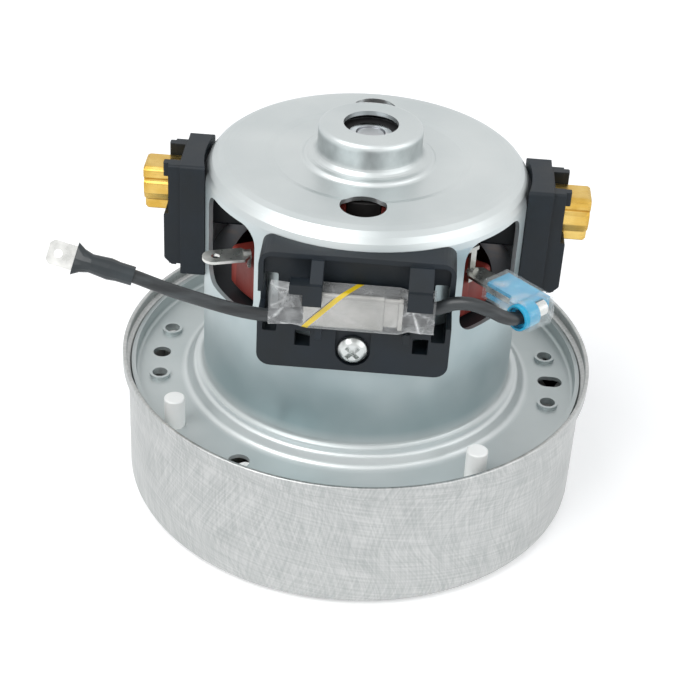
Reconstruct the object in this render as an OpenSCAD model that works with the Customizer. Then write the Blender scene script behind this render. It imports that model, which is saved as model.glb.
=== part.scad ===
// Vacuum cleaner motor unit: a universal motor above a single-stage fan in a drawn steel casing.
// Millimetres. The origin is the centre of the casing's flat bottom and +Z runs up the motor axis.
// The brushes lie along X and the thermal protector faces -Y.

/* [Fan casing] */
// Outer radius of the casing wall
casing_r = 66.4; // [66:0.1:72]
// Thickness of the casing sheet
casing_sheet = 0.8; // [0.6:0.1:1]
// Height of the casing from its bottom to its rim
casing_h = 42; // [41:0.5:44]
// How far the rim band stands out from the wall
rim_step = 1.6; // [1.2:0.1:2.2]
// Height of the rim band
rim_band_h = 3.9; // [3:0.1:4.2]
// Radial thickness of the rolled edge
rim_edge = 1.2; // [1:0.1:1.4]
// Outer radius of the bend round the bottom
bottom_bend = 3.5; // [2:0.1:5]
// Radius where the dished middle of the bottom starts
dish_r = 48; // [44:0.5:52]
// Height of the dish
dish_h = 1.2; // [0.8:0.1:1.4]
// Bore radius of the air inlet
inlet_r = 19.5; // [16:0.5:20]
// Height of the inlet lip above the dish
inlet_lip_h = 3; // [2.2:0.1:3.4]

/* [Motor frame] */
// Outer radius of the frame's skirt and dome
frame_r = 44.6; // [44:0.1:45.2]
// Thickness of the frame sheet
frame_sheet = 1.2; // [1:0.1:1.4]
// Height of the dome's top above the casing bottom
frame_h = 104; // [103:0.5:106]
// Outer radius of the bend round the dome
dome_bend = 7; // [5:0.5:8]
// Depth of the tray below the casing rim
tray_drop = 8; // [7:0.5:9]
// Height of the upturned lip above the tray
lip_h = 4.2; // [3:0.1:5]
// Inner radius of the bend at the lip
lip_bend = 1; // [0.6:0.1:1.6]
// Width of the raised ring's top, from the skirt outwards
ridge_w = 3; // [2.9:0.1:4]
// Height of the raised ring above the tray
ridge_h = 3.6; // [3.4:0.1:4.4]
// Width of the raised ring's outer slope
ridge_slope = 1.8; // [1.2:0.1:2.2]
// Radius of the bend from the raised ring up into the skirt
skirt_bend = 1.9; // [1.2:0.1:1.9]

/* [Bearing boss] */
// Height of the boss above the dome
boss_h = 9.2; // [8.6:0.1:10]
// Radius of the hole in the boss
boss_hole_r = 7.5; // [6:0.1:9]
// Radius of the bend at the boss foot
boss_bend = 2.6; // [1.6:0.1:2.7]
// Width of the raised foot round the boss
foot_w = 3.4; // [3.3:0.1:4]
// Height of the raised foot
foot_h = 1; // [0.8:0.1:1.3]
// Outer radius of the sunk ring round the foot
sunk_r = 26; // [24:0.5:27]
// Depth of the sunk ring
sunk_d = 0.6; // [0.4:0.1:0.9]
// Radius of the two vent holes in the top
vent_r = 6.15; // [5:0.05:7]
// Distance of the vent holes from the axis
vent_pos = 29.7; // [27:0.1:31]

/* [Windows] */
// How far the side windows' upper edge lies below the dome's top
window_drop = 6.5; // [6:0.1:8]
// Height of the side windows
window_h = 26.7; // [24:0.1:27]
// Width of the side windows
window_w = 24.1; // [22:0.1:24.5]
// Angle of the side windows from the brush axis
window_angle = 36.75; // [36:0.25:38]
// Corner radius of the side windows
window_corner = 5; // [3:0.5:7]
// Width of the front and rear windows
mid_window_w = 32; // [26:0.5:34]
// How far the front and rear windows' upper edge lies below the dome's top
mid_window_drop = 10; // [8:0.5:12]
// Height of the front and rear windows
mid_window_h = 14; // [12:0.5:16]
// Clearance of the brush windows round what passes through them
brush_window_gap = 0.5; // [0.3:0.1:0.6]

/* [Tray holes] */
// How far the tray's holes lie outside the middle of the tray's floor
hole_shift = 0.6; // [0:0.1:1]
// Radius of the collared fixing holes
fixing_hole_r = 2.2; // [1.8:0.05:2.4]
// Angle of the fixing holes from the brush axis
fixing_angle = 12; // [10:0.5:14]
// Wall of the extruded collars
collar_wall = 0.8; // [0.5:0.05:1]
// Height of the extruded collars
collar_h = 1; // [0.8:0.1:1.6]
// Radius of the round locating hole, and half the width of the slot
locating_r = 2.6; // [2:0.1:2.8]
// How much longer than round the slot is
slot_travel = 2; // [1:0.1:2.4]
// Radius of the sight hole
sight_r = 3; // [2.6:0.1:3.2]
// Angle of the sight hole
sight_angle = 240; // [236:1:244]
// Radius of the locating pegs
peg_r = 2.9; // [2.4:0.05:3]
// Gap between the pegs and the tray's lip
peg_gap = 1.7; // [1.4:0.1:2.2]
// How far the pegs stand above the casing rim
peg_rise = 1; // [0:0.1:2]
// Angle of the left peg
peg_left_angle = 216; // [212:1:220]
// Angle of the right peg
peg_right_angle = 306; // [302:1:310]

/* [Bearings] */
// Bore radius of both bearings
bearing_bore_r = 4; // [4:0.05:4.2]
// Outer radius of both bearings
bearing_r = 11; // [10.8:0.05:11.2]
// Width of both bearings
bearing_w = 7; // [6.5:0.1:7.2]
// Radius of the balls
ball_r = 1.98; // [1.9:0.01:2.05]
// Number of balls
ball_count = 7; // [6:1:8]
// Wall of the damping sleeve round the upper bearing
sleeve_wall = 1.95; // [1.8:0.05:2.1]

/* [Rotor] */
// Radius of the shaft between the bearings
shaft_r = 5; // [4.8:0.1:5.5]
// Radius of the armature core
armature_r = 21.5; // [20.5:0.1:22]
// Number of armature slots
armature_slots = 12; // [10:1:14]
// How far the laminated cores stand above the lower bracket
core_rise = 9.6; // [8.6:0.1:10.6]
// Space from the laminated cores up to the dome's top
core_room = 34; // [33:0.5:36]
// Height of the upper end windings
winding_h = 9.5; // [8:0.1:10]
// Height of the lower end windings
lower_winding_h = 7; // [6:0.1:7.5]
// Radius of the commutator's brush track
commutator_r = 12.5; // [12:0.1:13]
// Number of commutator bars
bar_count = 24; // [22:2:26]

/* [Stator] */
// Air gap between the armature and the poles
air_gap = 0.6; // [0.4:0.1:0.8]
// How far the stator core's flats lie inside the frame
flat_depth = 4.4; // [3.4:0.1:4.8]
// Half angle of each coil's end turn
coil_half_angle = 62; // [60:1:62]
// Height of the field coils' upper end turns above the core
coil_rise = 13; // [11:0.5:14]
// Air space between the field coils and the frame
coil_gap = 3.8; // [3.4:0.1:4.4]
// Height of the coil formers' inner wall above the core
former_rise = 24; // [20:0.5:25]
// Width of the coil formers' middle tongue
tongue_w = 8.8; // [6:0.2:10]

/* [Brush gear] */
// How far the carbon brushes' centre line lies below the dome's top
brush_drop = 12.2; // [11.8:0.1:12.6]
// Width of the carbon brushes
brush_w = 6.2; // [5.8:0.1:6.6]
// Height of the carbon brushes
brush_tall = 9.6; // [9:0.1:10]
// Length of the carbon brushes
brush_len = 28; // [24:0.5:30]
// Travel of the carbon brushes against their springs
brush_travel = 6; // [4:0.5:8]
// Sheet of the brass brush tubes
tube_sheet = 0.6; // [0.5:0.05:0.7]
// How far the ribs of the brush tubes stand out
tube_rib = 1.2; // [0.8:0.1:1.3]
// Depth of the channel under each brush tube for the brush's lead
tube_channel = 3; // [2.4:0.1:3.2]
// How far the brush tubes stand out of the holders' outer plate
tube_show = 7.4; // [6:0.1:9]
// Depth of the holders' upper block, from the frame outwards
block_out = 5.7; // [5.2:0.1:6.4]
// How far the holders' outer plate stands out from the block
plate_out = 3.5; // [2.8:0.1:4]
// How far the holders' lower step stands out from the plate
step_out = 1.3; // [1:0.1:2]
// Width of the holders
holder_w = 21.4; // [20.4:0.1:22]
// Width of the holders' outer plate
plate_w = 17.2; // [16.6:0.1:18]
// How far the holders' top lies below the dome's top
holder_drop = 2.6; // [2:0.1:3.2]
// Height of the holders
holder_h = 33.8; // [33:0.1:35]

/* [Protector] */
// Depth of the protector holder in the middle, from the frame outwards
holder_depth = 3.4; // [3:0.1:4]
// Width of the protector holder
bracket_w = 49.8; // [48:0.1:51]
// How far the protector holder's top lies below the dome's top
bracket_drop = 5; // [4.5:0.1:6]
// Height of the protector holder
bracket_h = 34; // [33:0.1:35]
// Corner radius of the protector holder
bracket_corner = 3.6; // [2.5:0.1:4.5]
// Wall of the protector holder
bracket_wall = 1.4; // [1.2:0.1:1.6]
// Height of the fixing screw above the protector holder's lower edge
screw_rise = 6.2; // [6:0.1:7]
// Radius of the fixing screw's head
screw_head_r = 4; // [3.6:0.1:4.2]
// Radius of the fixing screw's shank
screw_r = 2; // [1.5:0.1:2.2]
// Length of the clear sleeve
wrap_len = 42; // [40:0.5:43]
// Height of the clear sleeve
wrap_tall = 11.3; // [10.4:0.1:11.6]
// Depth of the clear sleeve
wrap_deep = 7.4; // [6.8:0.1:7.6]
// Wall of the clear sleeve
wrap_wall = 0.3; // [0.2:0.05:0.4]
// Height of the clear sleeve's underside above the protector holder's lower edge
wrap_rise = 14.7; // [14.5:0.1:15.4]
// Length of the protector's main can
can_len = 20.3; // [18:0.1:21]
// Length of the protector's narrower end
neck_len = 4.8; // [4:0.1:5.4]

/* [Leads] */
// Diameter of both leads
lead_d = 3.5; // [3:0.1:3.6]
// Diameter of the heat-shrink on the left lead
shrink_d = 4.9; // [4.6:0.1:5.4]
// Width of the blade terminals and tabs
blade_w = 6.3; // [6:0.1:6.6]
// Thickness of the blade terminals and tabs
blade_t = 0.8; // [0.6:0.1:0.9]
// Width of the flag terminal's cover
cover_w = 10.4; // [10:0.1:11]
// Thickness of the flag terminal's cover
cover_t = 5.4; // [5:0.1:5.8]

/* [Fan] */
// Radius of the impeller
impeller_r = 55; // [52:0.5:57]
// Number of impeller blades
blade_count = 9; // [7:1:11]
// Sweep of each blade from eye to rim, in degrees
blade_sweep = 62; // [50:1:70]
// Thickness of the blades and the shroud
blade_sheet = 0.8; // [0.6:0.1:1]
// Thickness of the impeller's back plate
back_sheet = 1; // [0.8:0.1:1.2]
// Outlet width between the shroud and the back plate
outlet_w = 7.2; // [6.4:0.1:7.8]
// Gap between the diffuser's disc and the casing wall
diffuser_gap = 4.8; // [4.4:0.1:5.2]
// Thickness of the diffuser's disc
diffuser_t = 1.8; // [1.5:0.1:2.2]
// Number of return vanes
return_vanes = 12; // [9:1:14]
// Number of guide vanes at the diffuser's edge
guide_vanes = 18; // [12:1:24]
// Gap between the impeller and the diffuser
fan_gap = 1.3; // [1:0.1:1.5]

/* [Hidden] */
$fn = 96;
steps = 6;

// Clearances
seat = 0.05;      // between pressed or pushed-in pieces
slide = 0.1;      // round a sliding brush
run = 0.5;        // round the impeller eye

// Heights along the axis
rim_r = casing_r + rim_step;
tray_z = casing_h - tray_drop;
tray_under = tray_z - frame_sheet;
ridge_z = tray_z + ridge_h;
bracket_top = ridge_z - frame_sheet;
boss_top = frame_h + boss_h;
boss_r = bearing_r + seat + sleeve_wall + seat + frame_sheet;
lip_r = casing_r - casing_sheet - seat;
skirt_in = frame_r - frame_sheet;
window_sill = frame_h - window_drop - window_h;
mid_window_sill = frame_h - mid_window_drop - mid_window_h;
ridge_r = frame_r + ridge_w;
tray_mid_r = (ridge_r + ridge_slope + lip_r - frame_sheet) / 2;
tray_pitch_r = tray_mid_r + hole_shift;
peg_pitch_r = lip_r - frame_sheet - peg_gap - peg_r;
foot_r = boss_r + foot_w;

// Bearings
lower_bearing_z = bracket_top - bearing_w - 0.2;
cup_floor = 1.2;
cup_wall = 1.8;
ceiling_gap = 1.5;
upper_bearing_z = boss_top - frame_sheet - ceiling_gap - bearing_w;
ring_wall = 1.75;
ball_pitch_r = (bearing_bore_r + bearing_r) / 2;
groove_gap = 0.05;

// Fan
diffuser_r = casing_r - casing_sheet - diffuser_gap;
diffuser_top = tray_under;
diffuser_z = lower_bearing_z - cup_floor - 8.4;
impeller_top = diffuser_z - fan_gap;
back_z = impeller_top - back_sheet;
shroud_rim_z = back_z - outlet_w;
eye_r = inlet_r + casing_sheet + run + blade_sheet;
eye_z = dish_h + casing_sheet + 0.8;
washer_h = 1.6;
nut_h = 6.5;

// Rotor
shaft_low = lower_bearing_z + bearing_w;
shaft_end = upper_bearing_z + bearing_w - 0.4;
core_z = bracket_top + core_rise;
core_top = frame_h - core_room;
core_h = core_top - core_z;
brush_z = frame_h - brush_drop;
bars_z = brush_z - brush_tall / 2 - 2.6;
bars_h = brush_tall + 4.4;
riser_h = 2.6;
bore_r = armature_r + air_gap;
coil_r = skirt_in - coil_gap;
yoke_in = skirt_in - 6.6;
core_flats = 2 * (skirt_in - flat_depth);

// Brush gear
holder_block_x = frame_r + block_out;
holder_plate_x = holder_block_x + plate_out;
holder_step_x = holder_plate_x + step_out;
holder_z = frame_h - holder_drop - holder_h;
tube_out = holder_plate_x + tube_show;
tube_w = brush_w + 2 * slide + 2 * tube_sheet;
tube_tall = brush_tall + 2 * slide + 2 * tube_sheet;
tube_in = commutator_r + 2.4;
brush_back = commutator_r + seat + brush_len;
snout_wall = 1.2;

// Protector
front_y = frame_r + holder_depth;
bracket_z = frame_h - bracket_drop - bracket_h;
screw_z = bracket_z + screw_rise;
wrap_z = bracket_z + wrap_rise;
wrap_back = front_y - 2.3;
wrap_front = wrap_back + wrap_deep;
wrap_mid_y = (wrap_back + wrap_front) / 2;
wrap_mid_z = wrap_z + wrap_tall / 2;
can_x = -12.9;
back_gap = 0.1;

// Right tab and flag terminal: they point out of the right window at flag_angle, drawn along +X
flag_angle = -45;
flag_side = 1.5;
flag_z = frame_h - 18;
flag_start = frame_r + 3.9;
receptacle_len = 8.5;
barrel_x = flag_start + 15.4;
barrel_r = lead_d / 2 + 0.45;
barrel_y0 = -2.6;
barrel_y1 = 3.2;
boot_r = 3.45;
boot_y = -6.3;
cover_wall = 0.35;
tab_root_r = coil_r + seat;
left_tab_angle = 224;
left_tab_way = 198;
left_tab_len = 12.9;
right_tab_len = flag_start + 7.1 - tab_root_r;

// Middle points of the leads, left and right, by hand, with y and z measured from the protector's middle
LEFT_WAY = [[-13.1, -0.1, -2.75], [-17, -0.5, -3.25], [-22.5, -1.2, -3.4], [-30, -1.5, -2.35], [-40, -1.4, 0.05],
            [-48, -1.4, 2.35], [-55.9, -1.6, 5.25], [-61.7, -1.7, 6.85]];
RIGHT_WAY = [[12.3, -0.1, 1.25], [16, -0.1, 1.35], [20.5, -0.4, 1.85], [24.5, -0.8, 3.85], [29, -1.4, 4.55],
             [34, -2, 3.35], [37.4, -1.6, 1.65]];
LEFT_ROUTE = [for (p = LEFT_WAY) p + [0, -wrap_mid_y, wrap_mid_z]];
RIGHT_ROUTE = [for (p = RIGHT_WAY) p + [0, -wrap_mid_y, wrap_mid_z]];

// Shrink sleeve on the left terminal: distance along it, half width, half thickness
SHRINK = [[0, 2.45, 2.45], [4, 2.5, 2.5], [6.3, 2.8, 2.6], [8.5, 2.6, 2.5], [11, 2.4, 2.4], [13.2, 3, 1.9],
          [15.2, 4.2, 1.3]];
shrink_wall = 0.45;
shrink_len = SHRINK[len(SHRINK) - 1].x;
blade_show = 6.8;

// General functions
function unit(v) = v / norm(v);
function turn(a) = a > 180 ? a - 360 : a < -180 ? a + 360 : a;
function flat(p) = [p.x, p.y];
function reverse(p) = [for (i = [len(p) - 1:-1:0]) p[i]];

// Points of the arc that rounds corner p, between its neighbours a and b, with radius p.z
function corner(a, p, b) =
    p.z <= 0 ? [flat(p)] :
    let (
        u = unit(flat(a) - flat(p)),
        v = unit(flat(b) - flat(p)),
        half = acos(max(-1, min(1, u * v))) / 2,
        centre = flat(p) + unit(u + v) * p.z / sin(half),
        s = flat(p) + u * p.z / tan(half) - centre,
        e = flat(p) + v * p.z / tan(half) - centre,
        a0 = atan2(s.y, s.x),
        sweep = turn(atan2(e.y, e.x) - a0)
    )
    [for (i = [0:steps]) centre + p.z * [cos(a0 + sweep * i / steps), sin(a0 + sweep * i / steps)]];

// Open and closed outlines from corner points [x, y, radius]
function open_path(p) = [
    for (i = [0:len(p) - 1])
        each (i == 0 || i == len(p) - 1) ? [flat(p[i])] : corner(p[i - 1], p[i], p[i + 1])
];
function closed_path(p) = [
    for (i = [0:len(p) - 1]) each corner(p[(i + len(p) - 1) % len(p)], p[i], p[(i + 1) % len(p)])
];

// The path moved to its left by t
function side_path(p, t) = [
    for (i = [0:len(p) - 1])
        let (
            after = i == len(p) - 1 ? p[i] - p[i - 1] : p[i + 1] - p[i],
            before = i == 0 ? after : p[i] - p[i - 1],
            m = unit([-before.y, before.x]) + unit([-after.y, after.x])
        )
        p[i] + t * m * 2 / (m * m)
];
function turns_left(p, i) = cross(p[i] - p[i - 1], p[i + 1] - p[i]) > 0;

// Section of bent sheet of thickness t, to the left of the corner points [x, y, radius]
function sheet_section(p, t) =
    let (
        line = [for (q = p) flat(q)],
        side = side_path(line, t),
        last = len(p) - 1,
        inner = [
            for (i = [0:last])
                let (r = i == 0 || i == last ? 0 : max(0, p[i].z + (turns_left(line, i) ? -t : t)))
                [side[i].x, side[i].y, r]
        ]
    )
    concat(open_path(p), reverse(open_path(inner)));

function rect_points(x0, x1, y0, y1, r) = [[x0, y0, r], [x1, y0, r], [x1, y1, r], [x0, y1, r]];
function spiral(r0, r1, sweep, n) = [
    for (i = [0:n]) (r0 + (r1 - r0) * i / n) * [cos(sweep * i / n), sin(sweep * i / n)]
];
function strip(line, t) = concat(side_path(line, t / 2), reverse(side_path(line, -t / 2)));

// Catmull-Rom curve through route points, with n steps a span
function route_at(p, i, t) =
    let (
        a = p[max(0, i - 1)],
        b = p[i],
        c = p[i + 1],
        d = p[min(len(p) - 1, i + 2)]
    )
    0.5 * (2 * b + (c - a) * t + (2 * a - 5 * b + 4 * c - d) * t * t + (3 * b - a - 3 * c + d) * t * t * t);
function route(p, n) = concat(
    [for (i = [0:len(p) - 2], k = [0:n - 1]) route_at(p, i, k / n)],
    [p[len(p) - 1]]
);

// Ring k of a tube of radius r along the path, with its sides measured from the level direction
function ring(path, k, r, sides) =
    let (
        t = unit(path[min(len(path) - 1, k + 1)] - path[max(0, k - 1)]),
        n = unit(cross(t, [0, 0, 1])),
        b = cross(n, t)
    )
    [for (s = [0:sides - 1]) path[k] + r * (n * cos(360 * s / sides) + b * sin(360 * s / sides))];

// Modules for general shapes
module tube_along(path, radii, sides = 8) {
    rings = [for (k = [0:len(path) - 1]) each ring(path, k, radii[k], sides)];
    last = len(path) - 1;
    faces = concat(
        [for (s = [1:sides - 2]) [0, s, s + 1]],
        [for (s = [1:sides - 2]) [last * sides, last * sides + s + 1, last * sides + s]],
        [for (k = [0:last - 1], s = [0:sides - 1])
            let (a = k * sides + s, b = k * sides + (s + 1) % sides)
            each [[a, a + sides, b + sides], [a, b + sides, b]]]
    );
    polyhedron(rings, faces);
}

module turned(section) {
    rotate_extrude() polygon(section);
}

module ring_solid(r0, r1, z0, z1) {
    turned([[r0, z0], [r1, z0], [r1, z1], [r0, z1]]);
}

// A prism along the radius at an angle, from r0 to r1: its section is drawn in (sideways, up)
module radial(angle, r0, r1) {
    rotate([0, 0, angle]) translate([r0, 0, 0]) rotate([90, 0, 90]) linear_extrude(r1 - r0) children();
}

module rounded(points) {
    polygon(closed_path(points));
}

// A block between two corners, with its corners rounded as seen along Z
module block(x0, x1, y0, y1, z0, z1, r = 0) {
    translate([0, 0, z0]) linear_extrude(z1 - z0) rounded(rect_points(x0, x1, y0, y1, r));
}

// The wedge from the axis between angles a0 and a1, past radius r
module wedge(a0, a1, r, z0, z1) {
    translate([0, 0, z0]) linear_extrude(z1 - z0)
        polygon(concat([[0, 0]], [for (i = [0:4]) 2 * r * [cos(a0 + (a1 - a0) * i / 4), sin(a0 + (a1 - a0) * i / 4)]]));
}

// A sector of a ring: angles in degrees, radii and heights in millimetres
module sector(r0, r1, a0, a1, z0, z1) {
    intersection() {
        ring_solid(r0, r1, z0, z1);
        wedge(a0, a1, r1, z0 - 1, z1 + 1);
    }
}

// Part of a turned ring, with its corners rounded by r, between angles a0 and a1
module arc_ring(r0, r1, a0, a1, z0, z1, r) {
    intersection() {
        turned(closed_path(rect_points(r0, r1, z0, z1, r)));
        wedge(a0, a1, r1, z0 - 1, z1 + 1);
    }
}

// Fan casing
module fan_casing() {
    dish_slope = 2;
    lip_bend_r = 1.8;
    step_z = casing_h - rim_band_h;
    step_h = 0.6;
    color([0.76, 0.78, 0.78]) union() {
        turned(sheet_section([
            [inlet_r, dish_h + casing_sheet + inlet_lip_h, 0],
            [inlet_r, dish_h, lip_bend_r],
            [dish_r, dish_h, 2],
            [dish_r + dish_slope, 0, 2],
            [casing_r, 0, bottom_bend],
            [casing_r, step_z - step_h, 0.5],
            [rim_r, step_z, 0.5],
            [rim_r, casing_h - rim_edge / 2, 0]
        ], casing_sheet));
        turned(closed_path(rect_points(rim_r - rim_edge, rim_r, casing_h - 1.6, casing_h, 0.45)));
    }
}

// Motor frame: boss, dome, straps, skirt, raised ring, tray and lip from one sheet
module frame_shell() {
    sunk_z = frame_h - sunk_d;
    turned(sheet_section([
        [lip_r - frame_sheet, tray_z + lip_h, 0],
        [lip_r - frame_sheet, tray_z, lip_bend],
        [ridge_r + ridge_slope, tray_z, 2],
        [ridge_r, ridge_z, 1.6],
        [frame_r, ridge_z, skirt_bend],
        [frame_r, frame_h, dome_bend],
        [sunk_r + 2, frame_h, 2],
        [sunk_r, sunk_z, 2],
        [foot_r + 0.8, sunk_z, 1.3],
        [foot_r, sunk_z + foot_h, 1.1],
        [boss_r, sunk_z + foot_h, boss_bend],
        [boss_r, boss_top, 1.5],
        [boss_hole_r, boss_top, 0]
    ], frame_sheet));
}

module tray_hole(angle, pitch, r) {
    rotate([0, 0, angle]) translate([pitch, 0, tray_under - 1]) cylinder(r = r, h = frame_sheet + collar_h + 2);
}

module motor_frame() {
    through = [frame_r - 8, frame_r + 4];
    color([0.74, 0.77, 0.77]) difference() {
        union() {
            frame_shell();
            for (side = [0, 180], a = [-fixing_angle, fixing_angle])
                rotate([0, 0, side + a]) translate([tray_pitch_r, 0, tray_under + 0.2])
                    cylinder(r = fixing_hole_r + collar_wall, h = frame_sheet - 0.2 + collar_h);
        }
        for (side = [0, 180], a = [-fixing_angle, fixing_angle])
            tray_hole(side + a, tray_pitch_r, fixing_hole_r);
        tray_hole(180, tray_pitch_r, locating_r);
        for (shift = [-slot_travel / 2, slot_travel / 2])
            tray_hole(0, tray_pitch_r + shift, locating_r);
        block(tray_pitch_r - slot_travel / 2, tray_pitch_r + slot_travel / 2,
              -locating_r, locating_r, tray_under - 1, tray_z + 1);
        tray_hole(sight_angle, tray_pitch_r, sight_r);
        for (a = [peg_left_angle, peg_right_angle]) tray_hole(a, peg_pitch_r, peg_r + seat);
        for (a = [-90, 90]) rotate([0, 0, a]) translate([vent_pos, 0, frame_h - 4]) cylinder(r = vent_r, h = 8);
        for (a = [window_angle, -window_angle, 180 - window_angle, 180 + window_angle])
            radial(a, through[0], through[1]) rounded(rect_points(
                -window_w / 2, window_w / 2, window_sill, window_sill + window_h, window_corner));
        for (a = [-90, 90])
            radial(a, through[0], through[1]) rounded(rect_points(
                -mid_window_w / 2, mid_window_w / 2, mid_window_sill, mid_window_sill + mid_window_h, 3));
        for (a = [0, 180])
            radial(a, through[0], through[1]) rounded(rect_points(
                -snout_w / 2 - brush_window_gap, snout_w / 2 + brush_window_gap,
                snout_z0 - brush_window_gap, snout_z1 + brush_window_gap, 1));
        rotate([90, 0, 0]) translate([0, screw_z, skirt_in - 3]) cylinder(r = screw_r + seat, h = 6);
    }
}

// Lower bracket: a disc under the raised ring, with the lower bearing's cup and six air openings
module lower_bracket() {
    disc_t = 1.8;
    disc_r = ridge_r - frame_sheet - 0.2;
    cup_r = bearing_r + seat;
    floor_z = lower_bearing_z - cup_floor;
    spoke_half = 7;
    color([0.62, 0.65, 0.66]) difference() {
        turned([
            [bearing_bore_r + 3.6, floor_z], [cup_r + cup_wall, floor_z],
            [cup_r + cup_wall, bracket_top - disc_t], [disc_r, bracket_top - disc_t],
            [disc_r, bracket_top], [cup_r, bracket_top], [cup_r, lower_bearing_z],
            [bearing_bore_r + 3.6, lower_bearing_z]
        ]);
        for (k = [0:5])
            sector(cup_r + cup_wall + 5, disc_r - 5.5, k * 60 + spoke_half, (k + 1) * 60 - spoke_half,
                   bracket_top - disc_t - 1, bracket_top + 1);
    }
}

// Diffuser: disc, curved return vanes above it, guide vanes at its edge and sockets for the pegs
module return_vane() {
    vane_t = 1.4;
    vane_in = diffuser_r / 2;
    sweep = 48;
    linear_extrude(diffuser_top - diffuser_z - diffuser_t)
        polygon(strip(spiral(vane_in, diffuser_r - 1.2, sweep, 10), vane_t));
}

module diffuser() {
    hub_in = bearing_r + cup_wall + 0.6;
    vane_base = diffuser_z + diffuser_t;
    guide_out = casing_r - casing_sheet - 0.8;
    socket_r = peg_r + seat + 1.3;
    color([0.93, 0.93, 0.91]) difference() {
        union() {
            turned([
                [hub_in, diffuser_z], [diffuser_r, diffuser_z], [diffuser_r, vane_base],
                [hub_in + 1.6, vane_base], [hub_in + 1.6, vane_base + 4], [hub_in, vane_base + 4]
            ]);
            for (k = [0:return_vanes - 1])
                translate([0, 0, vane_base - 0.3]) rotate([0, 0, k * 360 / return_vanes]) return_vane();
            for (k = [0:guide_vanes - 1])
                rotate([0, 0, k * 360 / guide_vanes + 5]) translate([0, 0, diffuser_z + 0.2])
                    linear_extrude(diffuser_t + 6)
                        polygon(strip(spiral(diffuser_r - 1, guide_out, 7, 4), 1.2));
            for (a = [peg_left_angle, peg_right_angle])
                rotate([0, 0, a]) translate([peg_pitch_r, 0, diffuser_z + 0.3])
                    cylinder(r = socket_r, h = diffuser_top - diffuser_z - 0.3);
            rotate([0, 0, sight_angle + 2]) translate([tray_pitch_r - 0.3, 0, diffuser_z + 0.5])
                cylinder(r = 2.1, h = diffuser_top - diffuser_z - 0.5);
        }
        for (a = [peg_left_angle, peg_right_angle])
            rotate([0, 0, a]) translate([peg_pitch_r, 0, vane_base + 1])
                cylinder(r = peg_r + seat, h = diffuser_top);
    }
}

module locating_pegs() {
    peg_base = diffuser_z + diffuser_t + 1;
    edge = 0.3;
    color([0.96, 0.96, 0.94])
        for (a = [peg_left_angle, peg_right_angle])
            rotate([0, 0, a]) translate([peg_pitch_r, 0, peg_base])
                turned([[0, 0], [peg_r, 0], [peg_r, casing_h + peg_rise - peg_base - edge],
                        [peg_r - edge, casing_h + peg_rise - peg_base], [0, casing_h + peg_rise - peg_base]]);
}

// Impeller: its flow space is the section between the shroud and the back plate
function shroud_line() = [
    [eye_r, eye_z, 0], [eye_r, eye_z + 2.6, 2.4], [impeller_r, shroud_rim_z, 0]
];

module impeller_shroud() {
    color([0.8, 0.81, 0.82]) turned(sheet_section([
        for (p = reverse(shroud_line())) p
    ], -blade_sheet));
}

module impeller_back_plate() {
    color([0.8, 0.81, 0.82]) turned([
        [bearing_bore_r + seat, back_z], [impeller_r, back_z], [impeller_r, impeller_top],
        [bearing_bore_r + seat, impeller_top]
    ]);
}

module impeller_blades() {
    inner_r = eye_r + 1.6;
    outer_r = impeller_r - 0.5;
    color([0.78, 0.79, 0.8]) intersection() {
        translate([0, 0, eye_z]) for (k = [0:blade_count - 1]) rotate([0, 0, k * 360 / blade_count])
            linear_extrude(back_z - eye_z)
                polygon(strip(spiral(inner_r - 1, impeller_r, -blade_sweep, 12), blade_sheet));
        turned([
            [inner_r, shroud_floor(inner_r)], [outer_r, shroud_floor(outer_r)], [outer_r, back_z],
            [inner_r, back_z]
        ]);
    }
}

// Height of the shroud's inner face at radius r, on its sloping part
function shroud_floor(r) =
    let (
        low = eye_z + 2.6,
        slope = (shroud_rim_z - low) / (impeller_r - eye_r)
    )
    low + slope * (r - eye_r) + blade_sheet * sqrt(1 + slope * slope) + 0.02;

module impeller_spacer() {
    color([0.7, 0.71, 0.72])
        ring_solid(bearing_bore_r + seat, bearing_bore_r + 2, impeller_top, lower_bearing_z);
}

module clamp_washer() {
    color([0.7, 0.71, 0.72])
        ring_solid(bearing_bore_r + seat, bearing_bore_r + 6, back_z - washer_h, back_z);
}

module impeller_nut() {
    nut_flats = 13;
    color([0.72, 0.68, 0.55]) difference() {
        translate([0, 0, back_z - washer_h - nut_h]) cylinder(r = nut_flats / sqrt(3), h = nut_h, $fn = 6);
        translate([0, 0, back_z - washer_h - nut_h - 1]) cylinder(r = bearing_bore_r + seat, h = nut_h + 2);
    }
}

// Rotor
module shaft() {
    low_end = back_z - washer_h - nut_h - 1.5;
    edge = 0.4;
    journal = bearing_bore_r;
    color([0.62, 0.63, 0.65]) turned([
        [0, low_end], [journal - edge, low_end], [journal, low_end + edge], [journal, shaft_low + 0.2],
        [shaft_r, shaft_low + 0.2], [shaft_r, upper_bearing_z - 0.1], [journal, upper_bearing_z - 0.1],
        [journal, shaft_end - edge], [journal - edge, shaft_end], [0, shaft_end]
    ]);
}

module slot_shapes(r, shrink = 0) {
    slot_r = 2.9;
    mouth = 1.2;
    for (k = [0:armature_slots - 1]) rotate([0, 0, k * 360 / armature_slots]) {
        translate([r - slot_r - 1.6, 0]) circle(r = slot_r - shrink);
        if (shrink == 0) translate([r - slot_r, -mouth]) square([slot_r + 1, 2 * mouth]);
    }
}

module armature_core() {
    color([0.45, 0.45, 0.47]) translate([0, 0, core_z]) linear_extrude(core_h) difference() {
        circle(r = armature_r);
        circle(r = shaft_r + seat);
        slot_shapes(armature_r);
    }
}

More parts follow.
